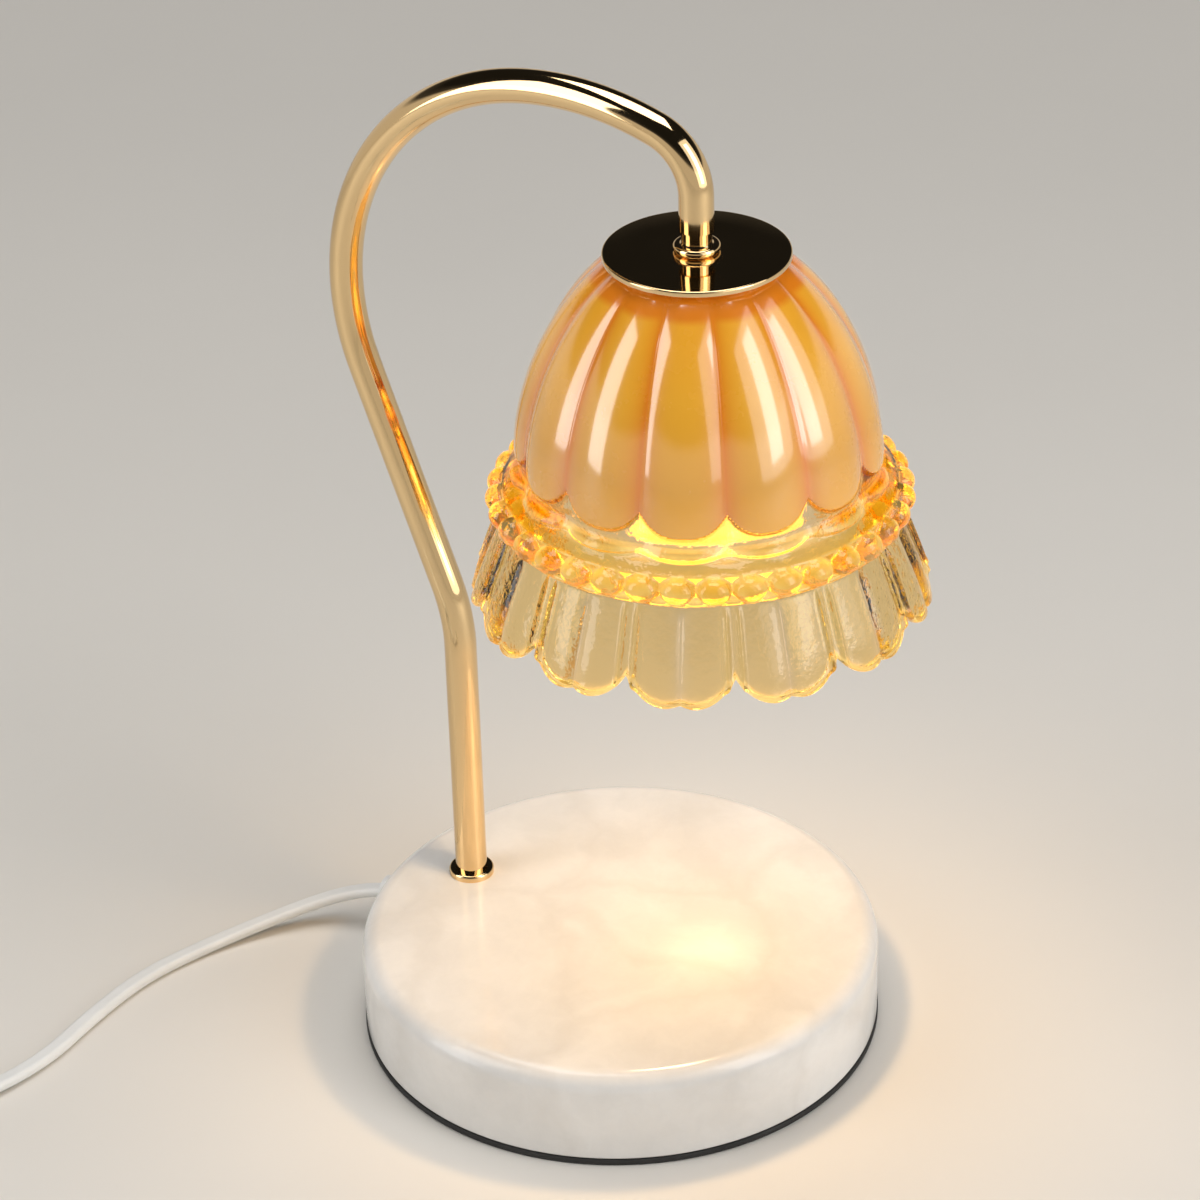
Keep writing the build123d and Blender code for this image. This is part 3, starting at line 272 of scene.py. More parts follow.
# ------------------------------------------------------------------ material helpers
class Nodes:
    """A node tree with short ways to add, feed and link its nodes."""

    def __init__(self, tree):
        self.tree = tree

    def add(self, kind, **values):
        """Add a node; each value is an input's or a setting's."""
        node = self.tree.nodes.new("ShaderNode" + kind)
        for key, value in values.items():
            if key in node.inputs:
                node.inputs[key].default_value = value
            else:
                setattr(node, key, value)
        return node

    def link(self, source, target):
        self.tree.links.new(source, target)

    def feed(self, value, socket):
        """Give a socket a number, a colour or another node's output."""
        if isinstance(value, bpy.types.NodeSocket):
            self.link(value, socket)
        else:
            socket.default_value = value if isinstance(value, (int, float)) else (*value, 1)

    def position(self):
        return self.add("NewGeometry").outputs["Position"]

    def cloud(self, scale, **values):
        """Noise over the scene's own space."""
        node = self.add("TexNoise", **values)
        self.feed(scale, node.inputs["Scale"])
        self.link(self.position(), node.inputs["Vector"])
        return node

    def maths(self, operation, *values):
        """Add a math node; each value is a number or an output. Returns its output."""
        node = self.add("Math", operation=operation)
        for socket, value in zip(node.inputs, values):
            self.feed(value, socket)
        return node.outputs["Value"]

    def spread(self, value, low, high, **values):
        """Bring a value from low and high to 0 and 1."""
        node = self.add("MapRange", **values)
        node.inputs["From Min"].default_value = low
        node.inputs["From Max"].default_value = high
        self.link(value, node.inputs["Value"])
        return node

    def band(self, value, low, high, soft):
        """Mask that is 1 between two values and fades out over a soft margin."""
        rise = self.maths("DIVIDE", self.maths("SUBTRACT", value, low - soft), soft)
        fall = self.maths("DIVIDE", self.maths("SUBTRACT", high + soft, value), soft)
        both = self.maths("MINIMUM", rise, fall)
        return self.maths("MINIMUM", self.maths("MAXIMUM", both, 0.0), 1.0)

    def ramp(self, value, *stops):
        """Colours that follow a value; each stop is a position and a colour."""
        node = self.add("ValToRGB")
        marks = node.color_ramp.elements
        while len(marks) < len(stops):
            marks.new(0.5)
        for mark, (position, tint) in zip(marks, stops):
            mark.position = position
            mark.color = (*tint, 1)
        self.link(value, node.inputs["Fac"])
        return node.outputs["Color"]

    def blend(self, factor, first, second):
        """Mix two colours, and return the output."""
        node = self.add("Mix", data_type="RGBA")
        # the sockets of a colour mix: its factor and its two colours
        for index, value in ((0, factor), (6, first), (7, second)):
            self.feed(value, node.inputs[index])
        return node.outputs[2]


def new_group(name, inputs, outputs):
    """A node group of number sockets; returns its tree, given values and results."""
    group = bpy.data.node_groups.new(name, "ShaderNodeTree")
    for label, value in inputs.items():
        socket = group.interface.new_socket(label, in_out="INPUT", socket_type="NodeSocketFloat")
        socket.default_value = value
    for label in outputs:
        group.interface.new_socket(label, in_out="OUTPUT", socket_type="NodeSocketFloat")
    given = group.nodes.new("NodeGroupInput").outputs
    return Nodes(group), given, group.nodes.new("NodeGroupOutput").inputs


def smudge_group():
    """Uneven polish: a roughness that wanders between two values."""
    nodes, given, result = new_group(
        "uneven polish", {"Scale": 30.0, "Low": 0.05, "High": 0.12}, ("Roughness",)
    )
    cloud = nodes.cloud(given["Scale"], Detail=5, Roughness=0.6)
    wander = nodes.spread(cloud.outputs["Fac"], 0.35, 0.65)
    nodes.link(given["Low"], wander.inputs["To Min"])
    nodes.link(given["High"], wander.inputs["To Max"])
    nodes.link(wander.outputs["Result"], result["Roughness"])
    return nodes.tree


def grain_group():
    """Fine moulded grain as a height."""
    nodes, given, result = new_group("fine grain", {"Scale": 900.0}, ("Height",))
    nodes.link(nodes.cloud(given["Scale"], Detail=3).outputs["Fac"], result["Height"])
    return nodes.tree


def shade_place_group(sizes):
    """Where a point lies on the shade: its groove mask, its share of a lobe and its drop.

    Share is 0 on a lobe's crest and 1 in the grooves beside it; Drop is in metres.
    """
    nodes, given, result = new_group(
        "place on shade", {"Sharpness": 4.0}, ("Groove", "Share", "Drop", "Radius")
    )
    maths = nodes.maths
    shift = nodes.add("VectorMath", operation="SUBTRACT")
    shift.inputs[1].default_value = head
    parts = nodes.add("SeparateXYZ")
    nodes.link(nodes.position(), shift.inputs[0])
    nodes.link(shift.outputs["Vector"], parts.inputs["Vector"])
    x, y, z = parts.outputs
    turn = maths("SUBTRACT", maths("ARCTAN2", y, x), sizes.lobe_phase)
    step = 2 * pi / sizes.lobes
    lobe = maths("WRAP", turn, step, 0.0)
    share = maths("ABSOLUTE", maths("SUBTRACT", maths("DIVIDE", lobe, step / 2), 1.0))
    squares = maths("ADD", maths("MULTIPLY", x, x), maths("MULTIPLY", y, y))
    nodes.link(maths("POWER", share, given["Sharpness"]), result["Groove"])
    nodes.link(share, result["Share"])
    nodes.link(maths("SUBTRACT", shade_top, z), result["Drop"])
    nodes.link(maths("SQRT", squares), result["Radius"])
    return nodes.tree


class Finish(Nodes):
    """One material with its surface shader."""

    def __init__(self, name, base, roughness, metallic=0.0):
        self.material = bpy.data.materials.new(name)
        self.material.use_nodes = True
        super().__init__(self.material.node_tree)
        self.shader = self.tree.nodes["Principled BSDF"]
        self.set("Base Color", base)
        self.set("Roughness", roughness)
        self.set("Metallic", metallic)

    def set(self, name, value):
        """Feed one of the surface's own sockets."""
        self.feed(value, self.shader.inputs[name])

    def polish(self, low, high, scale=30.0):
        group = bpy.data.node_groups.get("uneven polish") or smudge_group()
        uneven = self.add("Group", node_tree=group, Scale=scale, Low=low, High=high)
        self.set("Roughness", uneven.outputs["Roughness"])

    def bump(self, height, distance, strength=1.0):
        bump = self.add("Bump", Strength=strength, Distance=distance)
        self.link(height, bump.inputs["Height"])
        self.set("Normal", bump.outputs["Normal"])

    def grain(self, scale, distance, strength=1.0):
        group = bpy.data.node_groups.get("fine grain") or grain_group()
        height = self.add("Group", node_tree=group, Scale=scale).outputs["Height"]
        self.bump(height, distance, strength)

    def mottle(self, first, second, scale):
        """Blend two colours by a cloud and feed the base colour."""
        cloud = self.cloud(scale, Detail=4.0).outputs["Fac"]
        self.set("Base Color", self.ramp(cloud, (0.3, first), (0.7, second)))


def shaded(base, factor):
    """A colour made darker or lighter by a factor."""
    return tuple(min(1.0, part * factor) for part in base)


def gold_finish():
    """Polished champagne-gold plating."""
    base = bpy.context.scene.lamp_arm.gold_colour
    finish = Finish("polished gold", base, 0.07, 1.0)
    finish.mottle(shaded(base, 0.96), shaded(base, 1.03), 22)
    finish.polish(0.045, 0.10, 45)
    finish.grain(260, 0.00002, 0.25)
    return finish.material


def marble_finish():
    """Polished white marble with faint warm clouds and veins."""
    sizes = bpy.context.scene.lamp_base
    base = sizes.marble_colour
    finish = Finish("white marble", base, 0.16)
    # one warp bends the veins and the clouds together
    warp = finish.cloud(14.0, Detail=6.0, Roughness=0.6)
    shift = finish.add("VectorMath", operation="MULTIPLY_ADD")
    shift.inputs[1].default_value = (0.05, 0.05, 0.05)
    finish.link(warp.outputs["Color"], shift.inputs[0])
    finish.link(finish.position(), shift.inputs[2])
    cells = finish.add("TexVoronoi", feature="DISTANCE_TO_EDGE", Scale=17.0)
    clouds = finish.add("TexNoise", Scale=32.0, Detail=8.0, Roughness=0.62)
    for texture in (cells, clouds):
        finish.link(shift.outputs["Vector"], texture.inputs["Vector"])
    veins = finish.ramp(
        cells.outputs["Distance"], (0.0, (0.55, 0.55, 0.55)), (0.09, (0.0, 0.0, 0.0))
    )
    ground = finish.ramp(
        clouds.outputs["Fac"], (0.36, shaded(base, 0.93)), (0.66, shaded(base, 1.04))
    )
    faint = finish.maths("MULTIPLY", veins, 0.5)
    finish.set("Base Color", finish.blend(faint, ground, sizes.vein_colour))
    finish.polish(0.10, 0.24, 60)
    finish.set("Specular IOR Level", 0.5)
    return finish.material


def plastic_finish(name, base, low=0.32, high=0.42, grain=0.00004):
    """Moulded plastic with a fine grain."""
    finish = Finish(name, base, low)
    finish.mottle(shaded(base, 0.96), shaded(base, 1.02), 60)
    finish.polish(low, high, 80)
    finish.grain(1400, grain, 0.5)
    return finish.material


def metal_finish(name, base, low=0.2, high=0.35):
    """Plain bright metal."""
    finish = Finish(name, base, low, 1.0)
    finish.mottle(shaded(base, 0.9), shaded(base, 1.05), 90)
    finish.polish(low, high, 120)
    return finish.material


def clear_glass_finish():
    """Clear amber pressed glass: lightly hammered, with a painted gold glow at beads, rims and
    ledge.
    """
    sizes = bpy.context.scene.lamp_shade
    finish = Finish("clear amber glass", sizes.glass_colour, 0.02)
    maths, band = finish.maths, finish.band
    finish.set("Transmission Weight", 1.0)
    finish.set("IOR", 1.5)
    finish.bump(finish.cloud(420.0, Detail=2.0).outputs["Fac"], 0.0004, 0.5)
    where = finish.add("Group", node_tree=shade_place_group(sizes), Sharpness=3.0).outputs
    # masks of the beads, of the ledge under the flutes and of the petals' edges, where the glass
    # gets its painted glow
    low, high = sizes.bead_drop - sizes.bead_height, sizes.bead_drop + sizes.bead_height
    outward = band(where["Radius"], sizes.rim_radius, past_shade, 0.001)
    beads = maths("MULTIPLY", band(where["Drop"], low, high, 0.001), outward)
    ledge = band(where["Drop"], ledge_top, ledge_foot, 0.0006)
    level = maths("ADD", where["Drop"], maths("MULTIPLY", where["Groove"], sizes.petal_rise))
    foot_drop = sizes.skirt_drop + sizes.skirt_height
    rims = band(level, foot_drop - 0.0008, foot_drop + 0.01, 0.0010)
    lit = maths("MAXIMUM", maths("MAXIMUM", beads, ledge), rims)
    flicker = band(finish.cloud(170.0, Detail=3.0).outputs["Fac"], 0.55, 2.0, 0.2)
    tone = finish.blend(flicker, sizes.painted_deep_glow_colour, sizes.painted_glow_colour)
    # painted glow: the glass gives off gold light here, standing in for the bulb's light caught in
    # it
    finish.set("Emission Color", finish.blend(lit, (0.0, 0.0, 0.0), tone))
    finish.set("Emission Strength", 0.26)
    # thick glass takes a deeper colour
    depth = finish.add("VolumeAbsorption", Density=230.0)
    finish.feed(sizes.depth_colour, depth.inputs["Color"])
    finish.link(depth.outputs["Volume"], finish.tree.nodes["Material Output"].inputs["Volume"])
    return finish.material


def lustre_finish():
    """Pearl lustre over amber glass: gold on the crests, with deep orange painted shade in the
    grooves.
    """
    sizes = bpy.context.scene.lamp_shade
    pearl, groove = sizes.pearl_colour, sizes.groove_shade_colour

    def pearled(red, green, blue):
        return pearl[0] * red, pearl[1] * green, pearl[2] * blue

    finish = Finish("amber lustre", pearl, 0.3)
    group = bpy.data.node_groups["place on shade"]
    groove_shade_mask = finish.add("Group", node_tree=group, Sharpness=3.6).outputs["Groove"]
    height = finish.add("SeparateXYZ")
    finish.link(finish.position(), height.inputs["Vector"])
    # a deep orange band of painted shade under the cap, a pale painted sheen on the shoulders,
    # deeper gold at the foot
    up = finish.spread(height.outputs["Z"], shade_top - dome_foot, shade_top)
    ground = finish.ramp(
        up.outputs["Result"],
        (0.0, shaded(pearl, 1.05)),
        (0.25, shaded(pearl, 0.86)),
        (0.62, pearled(1.0, 1.06, 2.2)),
        (0.895, pearled(1.0, 0.98, 1.6)),
        (0.92, groove),
    )
    # painted shade: the grooves turn deep orange, so that the flutes look rounder
    coat_with_painted_shade = finish.blend(groove_shade_mask, ground, groove)
    finish.set("Base Color", coat_with_painted_shade)
    # painted glow: the coating gives off its own colours faintly, standing in for the lit bulb
    # inside
    finish.set("Emission Color", coat_with_painted_shade)
    finish.set("Emission Strength", 0.2)
    finish.set("Specular IOR Level", 0.5)
    finish.polish(0.20, 0.30, 55)
    finish.set("Coat Weight", 1.0)
    finish.set("Coat Roughness", 0.1)
    finish.set("Coat IOR", 2.0)
    return finish.material


# ------------------------------------------------------------------ stage
def softbox(name, place, width, height, power, target):
    """A soft rectangular lamp that faces the target."""
    data = bpy.data.lights.new(name, "AREA")
    data.shape = "RECTANGLE"
    data.size = width
    data.size_y = height
    data.energy = power
    lamp = put(name, data)
    lamp.location = place
    lamp.rotation_mode = "QUATERNION"
    lamp.rotation_quaternion = (place - target).to_track_quat("Z", "Y")


def pale_distance(finish, tint, near, far):
    """Keep the table top pale where it runs out of the lamps' reach."""
    maths = finish.maths
    rays = finish.add("LightPath").outputs
    seen = maths("MAXIMUM", rays["Is Camera Ray"], rays["Is Glossy Ray"])
    seen = maths("MAXIMUM", seen, rays["Is Transmission Ray"])
    away = finish.add("VectorMath", operation="LENGTH")
    finish.link(finish.position(), away.inputs[0])
    fade = finish.spread(away.outputs["Value"], near, far, interpolation_type="SMOOTHSTEP")
    light = finish.add("Emission")
    finish.feed(tint, light.inputs["Color"])
    both = finish.add("MixShader")
    finish.link(maths("MULTIPLY", seen, fade.outputs["Result"]), both.inputs[0])
    finish.link(finish.shader.outputs["BSDF"], both.inputs[1])
    finish.link(light.outputs["Emission"], both.inputs[2])
    finish.link(both.outputs["Shader"], finish.tree.nodes["Material Output"].inputs["Surface"])


class LAMP_OT_stage(Operator):
    """Set the camera, the table top and the soft lamps"""

    bl_idname = "lamp.stage"
    bl_label = "Stage"

    def execute(self, context):
        settings = context.scene.lamp_stage
        data = bpy.data.cameras.new("camera")
        data.lens = settings.lens
        data.sensor_width = 36
        data.clip_start = 0.01
        camera = put("camera", data)
        turn = Matrix.Rotation(settings.heading, 4, "Z")
        tilt = Matrix.Rotation(pi / 2 - settings.pitch, 4, "X")
        level = Matrix.Rotation(-settings.roll, 4, "Z")
        camera.matrix_world = Matrix.Translation(settings.camera_place) @ turn @ tilt @ level
        context.scene.camera = camera
        context.scene.view_settings.view_transform = "Standard"

        table = bpy.data.meshes.new("floor")
        reach = 6.0
        corners = [(-reach, -reach, 0), (reach, -reach, 0), (reach, reach, 0), (-reach, reach, 0)]
        table.from_pydata(corners, [], [(0, 1, 2, 3)])
        tint = settings.floor_colour
        finish = Finish("table top", tint, 0.6)
        finish.mottle(shaded(tint, 0.985), shaded(tint, 1.01), 5)
        pale_distance(finish, settings.distance_colour, near=0.5, far=1.7)
        table.materials.append(finish.material)
        floor = put("floor", table)

        target = Vector((0, 0, 0.16))
        across = Vector((cos(settings.heading), sin(settings.heading), 0))
        toward = Vector((sin(settings.heading), -cos(settings.heading), 0))
        up = Vector((0, 0, 1))
        key = target + across * 1.0 + toward * 0.7 + up * 0.6
        fill = target - across * 1.1 + toward * 0.4 + up * 0.5
        top = target + up * 2.2 - toward * 0.4
        # a narrow bright box in front of a wide dim one gives soft-edged gleams on the flutes
        for name, place, width, height, power in (
            ("key", key, 0.5, 1.2, 7.5),
            ("key haze", key, 1.5, 1.5, 8),
            ("fill", fill, 0.6, 1.3, 7),
            ("top", top, 1.6, 1.6, 27),
        ):
            softbox(name, place, width, height, power, target)

        world = bpy.data.worlds.new("studio")
        world.use_nodes = True
        context.scene.world = world
        nodes = Nodes(world.node_tree)
        background = world.node_tree.nodes["Background"].inputs
        background["Strength"].default_value = 1.0
        parts = nodes.add("SeparateXYZ")
        nodes.link(nodes.add("TexCoord").outputs["Generated"], parts.inputs["Vector"])
        # a pale backdrop round the horizon and a dim ceiling, so that the metal has contrast
        room = nodes.ramp(
            parts.outputs["Z"],
            (0.15, settings.distance_colour),
            (0.24, (0.05, 0.048, 0.045)),
            (0.4, (0.012, 0.0118, 0.0115)),
        )
        nodes.link(room, background["Color"])
        return {"FINISHED"}


# ------------------------------------------------------------------ base
class LAMP_OT_base(Operator):
    """Make the marble disc and its soft pad"""

    bl_idname = "lamp.base"
    bl_label = "Base"

    def execute(self, context):
        sizes = context.scene.lamp_base
        origin = Vector((0, 0, 0))
        radius = base_high.x
        edge = sizes.edge_round
        bevel = sizes.lower_bevel
        outline = [(0, base_high.z), (radius * 0.5, base_high.z)]
        outline += rounded(radius - edge, base_high.z - edge, edge, 90, 0, 14)
        outline += rounded(radius - bevel, base_low.z + bevel, bevel, 0, -90, 4)
        outline += [(0, base_low.z)]
        turned(
            "marble", outline, origin, "lamp", marble_finish(), "marble_base", segments=256
        )
        edge = sizes.pad_round
        radius = pad_high.x
        outline = [(0, pad_high.z)]
        outline += rounded(radius - edge, pad_high.z - edge, edge, 90, 0, 4)
        outline += rounded(radius - edge, edge, edge, 0, -90, 4)
        outline += [(0, 0)]
        pad = plastic_finish("soft pad", sizes.pad_colour, 0.6, 0.8, 0.0002)
        turned("pad", outline, origin, "lamp", pad, "base_pad", segments=256)
        return {"FINISHED"}


# ------------------------------------------------------------------ arm
def arm_course(sizes):
    """Points and directions of the tube's middle line, in its own plane, from the base up."""
    sunk = 0.002
    spots = [(Vector((foot.x, base_high.z - sunk)), Vector((0, 1)))]

    def straight(distance, steps):
        start, way = spots[-1]
        for step in range(1, steps + 1):
            spots.append((start + way * distance * step / steps, way))

    def bend(radius, turn, steps):
        start, way = spots[-1]
        side = Vector((-way.y, way.x)) * (1 if turn > 0 else -1)
        middle = start + side * radius
        for step in range(1, steps + 1):
            part = Matrix.Rotation(turn * step / steps, 2)
            spots.append((middle - part @ (side * radius), part @ way))

    straight(sizes.lean_start - base_high.z + sunk, 12)
    bend(sizes.lean_radius, sizes.lean_angle, 10)
    straight(sizes.run_length, 10)
    bend(sizes.hook_radius, -sizes.hook_angle, 44)
    bend(sizes.crown_radius, -sizes.crown_angle, 16)
    bend(sizes.nose_radius, -(pi + sizes.lean_angle - sizes.hook_angle - sizes.crown_angle), 20)
    straight(sizes.nose_drop, 3)
    return spots


class LAMP_OT_arm(Operator):
    """Make the bent tube, its foot ring, the neck fitting and the cap"""

    bl_idname = "lamp.arm"
    bl_label = "Arm"

    def execute(self, context):
        sizes = context.scene.lamp_arm
        gold = gold_finish()
        around = 64
        vertices = []
        course = arm_course(sizes)
        for spot, way in course:
            for step in range(around):
                turn = 2 * pi * step / around
                out = sizes.tube_radius * cos(turn)
                side = sizes.tube_radius * sin(turn)
                vertices.append((spot.x - way.y * out, side, spot.y + way.x * out))
        faces = grid_faces(len(course), around)
        faces.append(tuple(range(around)))
        faces.append(tuple(reversed(range((len(course) - 1) * around, len(course) * around))))
        tube = add_piece("tube", vertices, faces, "lamp", gold, "arm_tube")
        tube.data.set_sharp_from_angle(angle=radians(50))

        edge = 0.0009
        radius = ring_high.x - foot.x
        outline = rounded(radius - edge, ring_high.z - edge, edge, 90, 0, 8)
        outline += [(radius, ring_low.z), (sizes.tube_radius, ring_low.z)]
        outline += [(sizes.tube_radius, ring_high.z)]
        turned("foot_collar", outline, foot, "lamp", gold, "foot_ring", loop=True, segments=96)

        end = course[-1][0].y
        inside_tube = 0.001
        shank = 0.005
        fillet = 0.0004
        round_edge = 0.0011
        collar_top = end - sizes.neck_length
        collar_base = collar_top - sizes.collar_height
        ring = sizes.collar_radius - round_edge
        neck = sizes.neck_radius
        outline = [(0, end + inside_tube), (neck, end + inside_tube)]
        outline += [(neck, collar_top + fillet), (neck + fillet, collar_top)]
        outline += rounded(ring, collar_top - round_edge, round_edge, 90, 0, 6)
        outline += rounded(ring, collar_base + round_edge, round_edge, 0, -90, 6)
        outline += [(shank, collar_base), (shank, neck_low.z), (0, neck_low.z)]
        turned("neck", outline, head, "lamp", gold, "neck_fitting", segments=96)

        top = cap_high.z
        radius = cap_high.x - head.x
        hole = 0.0051
        sheet = 0.001
        edge = 0.0006
        hem = edge * 0.6
        outline = [(hole, top), (radius * 0.6, top)]
        outline += rounded(radius - edge, top - edge, edge, 90, 0, 6)
        outline += rounded(radius - hem, cap_low.z + hem, hem, 0, -180, 6)
        outline += [(radius - 0.0012, top - sheet), (hole, top - sheet)]
        turned("cap", outline, head, "lamp", gold, "shade_cap", segments=192, loop=True)
        return {"FINISHED"}


# ------------------------------------------------------------------ glass shade
class ShadeForm:
    """The shade's skin as radii and heights, with drops measured down from its top."""

    # dome: power of its curve and how fast it draws in under its belly
    dome_power, dome_tuck = 1.7, 14.9
    # thin seam along each groove: its share of the groove's depth, and its width in half lobes
    seam, seam_width = 0.16, 0.07
    # step below the flutes' round tips: its depth, its soft start and end, and its last drop
    tip_step, tip_start, tip_end, tip_last = 0.0009, 0.0018, 0.002, 0.0655
    # petals: their flare, the curl at their edge and the depth of their grooves at the top
    flare, curl, first_groove = 0.42, 0.0021, 0.0006
    crease, crease_width = 0.0015, 0.13
    ridge, ridge_place, ridge_width = 0.0013, 0.87, 0.055
    dent, dent_width = 0.0008, 0.2
    # rolled edge of the petals: how far it stands out and how high it reaches
    roll, roll_reach = 0.0005, 0.0016
    edge_trim = 0.0006

    def __init__(self, sizes):
        self.sizes = sizes
        self.half_lobe = pi / sizes.lobes
        self.dome_rows = 0

    def across(self, turn):
        """Place on a lobe: 0 on its crest, -1 and 1 in the grooves beside it."""
        step = 2 * self.half_lobe
        return ((turn - self.sizes.lobe_phase) % step) / self.half_lobe - 1

    def flute(self, crest, depth, share):
        """Radius of a round flute that is depth lower in its grooves."""
        if depth <= 0:
            return crest
        low = crest - depth
        middle = (crest**2 - low**2) / (2 * (crest - low * cos(self.half_lobe)))
        turn = share * self.half_lobe
        radius = middle * cos(turn) + sqrt((crest - middle) ** 2 - (middle * sin(turn)) ** 2)
        return radius + self.seam * depth * exp(-(((1 - abs(share)) / self.seam_width) ** 2))

    def dome(self, drop):
        """Crest radius of the dome."""
        sizes = self.sizes
        rise = sizes.dome_belly - drop
        if rise > 0:
            return sizes.dome_radius * sqrt(1 - (rise / sizes.dome_rise) ** self.dome_power)
        return sizes.dome_radius - self.dome_tuck * rise**2

    def dome_groove(self, drop):
        """Depth of the dome's grooves."""
        share = drop / self.sizes.dome_belly
        return self.sizes.groove_top + (self.sizes.groove - self.sizes.groove_top) * share

    def coat_edge(self, share):
        """Drop of the coating's scalloped edge."""
        return self.sizes.coat_drop - self.sizes.tip_rise * abs(share) ** 3

    def tip(self, share, drop):
        """How far the glass steps in below a flute's round tip."""
        past = drop - self.coat_edge(share)
        if past <= 0 or drop > self.tip_last:
            return 0.0
        level = min(1.0, past / self.tip_start)
        back = min(1.0, (self.tip_last - drop) / self.tip_end)
        return self.tip_step * level * level * (3 - 2 * level) * back

    def bead(self, turn, drop, radius):
        """Radius over the beads, or the radius given where no bead stands out."""
        sizes = self.sizes
        step = 2 * pi / sizes.beads
        beside = (turn - sizes.bead_phase + step / 2) % step - step / 2
        sideways = beside * sizes.bead_ring / sizes.bead_width
        upward = (drop - sizes.bead_drop) / sizes.bead_height
        inside = 1 - sideways**2 - upward**2
        if inside <= 0:
            return radius
        return max(radius, sizes.bead_ring + sizes.bead_height * sqrt(inside))

    def petal_crest(self, down):
        """Crest radius of a petal at a share of the skirt's height."""
        sizes = self.sizes
        return sizes.skirt_radius + self.flare * down * sizes.skirt_height - self.curl * down**6

    def petal_groove(self, down):
        """Depth of the grooves between the petals."""
        return self.first_groove + (self.sizes.skirt_groove - self.first_groove) * down

    def skirt(self, share, drop):
        """Radius of a petal at a drop, with its crease and side ridges."""
        down = (drop - self.sizes.skirt_drop) / self.sizes.skirt_height
        radius = self.flute(self.petal_crest(down), self.petal_groove(down), share)
        fade = min(1.0, 6 * down)
        crease = exp(-abs(share) / self.crease_width) * fade
        ridges = exp(-(((abs(share) - self.ridge_place) / self.ridge_width) ** 2)) * fade
        return radius - self.crease * crease + self.ridge * ridges

    def edge_drop(self, share):
        """Drop of the petals' wavy lower edge."""
        sizes = self.sizes
        rise = sizes.petal_rise * abs(share) ** 3.0
        dent = self.dent * exp(-((share / self.dent_width) ** 2))
        return sizes.skirt_drop + sizes.skirt_height - self.edge_trim - rise - dent

    def petal_place(self, turn, down):
        """Place on a petal, the drop of its edge there and the drop at a share of the way."""
        share = self.across(turn)
        edge = self.edge_drop(share)
        return share, edge, self.sizes.skirt_drop + (edge - self.sizes.skirt_drop) * down

    # each of these gives the (radius, drop) of one row in a direction
    def plain(self, turn, radius, drop):
        return radius, drop

    def lobed(self, turn, crest, depth, drop):
        return self.flute(crest, depth, self.across(turn)), drop

    def fluted(self, turn, crest, depth, drop):
        share = self.across(turn)
        return self.flute(crest, depth, share) - self.tip(share, drop), drop

    def beaded(self, turn, radius, drop):
        return self.bead(turn, drop, radius), drop

    def petal(self, turn, down):
        share, edge, drop = self.petal_place(turn, down)
        roll = self.roll * exp(-(((edge - drop) / self.roll_reach) ** 2))
        return self.skirt(share, drop) + roll, drop

    def rim(self, turn, bend):
        share, edge, _ = self.petal_place(turn, 1)
        half = self.sizes.wall * 0.42 + 0.0004
        radius = self.skirt(share, edge) + self.roll - half * (1 - cos(bend))
        return radius, edge + half * sin(bend) * 0.7

    def petal_inside(self, turn, down):
        share, _, drop = self.petal_place(turn, down)
        down = (drop - self.sizes.skirt_drop) / self.sizes.skirt_height
        crest = self.petal_crest(down) - self.sizes.wall * 0.84
        return self.flute(crest, self.petal_groove(down) * 0.8, share), drop

    def rows(self):
        """Functions of the direction that give (radius, drop) along each row, from the top
        plate down the outside to the petals' edge and up the inside again."""
        sizes = self.sizes
        rows = []

        def add(form, *given):
            rows.append(lambda turn: form(turn, *given))

        # top plate and fluted dome
        add(self.plain, sizes.hole_radius, 0)
        add(self.plain, 0.014, 0)
        count = 52
        for step in range(count + 1):
            drop = dome_foot * sin(pi / 2 * step / count)
            shoulder = 0.0006 if step == 0 else 0
            add(self.fluted, self.dome(drop) - shoulder, self.dome_groove(drop), drop)
        self.dome_rows = len(rows)
        # clear foot of the flutes, their wavy edge and the flange, in millimetres
        for crest, depth, drop in (
            (52.65, 2.5, 63.6),
            (52.95, 2.8, 64.5),
            (53.5, 3.2, 65.3),
            (54.1, 3.7, 65.9),
            (54.5, 4.0, 66.4),
            (54.6, 4.1, 66.8),
            (54.45, 4.0, 67.2),
            (54.1, 3.3, 67.5),
            (54.3, 1.2, 67.9),
            (54.9, 0.3, 68.5),
            (55.7, 0.0, 69.3),
        ):
            add(self.fluted, crest * MM, depth * MM, drop * MM)
        # rim with its beads, and the lip under them
        rim_top, rim_foot, bead_steps, soften = 0.0703, 0.0768, 22, 0.0004
        add(self.beaded, sizes.rim_radius - 0.0005, 0.0700)
        for step in range(bead_steps + 1):
            drop = rim_top + (rim_foot - rim_top) * step / bead_steps
            add(self.beaded, sizes.rim_radius, drop)
        add(self.beaded, sizes.lip_radius - soften, rim_foot)
        add(self.beaded, sizes.lip_radius, 0.0771)
        add(self.beaded, sizes.lip_radius, 0.0779)
        add(self.beaded, sizes.lip_radius - soften, 0.0783)
        add(self.plain, sizes.skirt_radius + 0.0012, 0.0784)
        # outside of the petals, their round edge and their inside
        outside, bends, inside = 26, 6, 18
        for step in range(1, outside + 1):
            add(self.petal, step / outside)
        for step in range(1, bends):
            add(self.rim, pi * step / bends)
        for step in range(inside):
            add(self.petal_inside, 1 - step / inside)
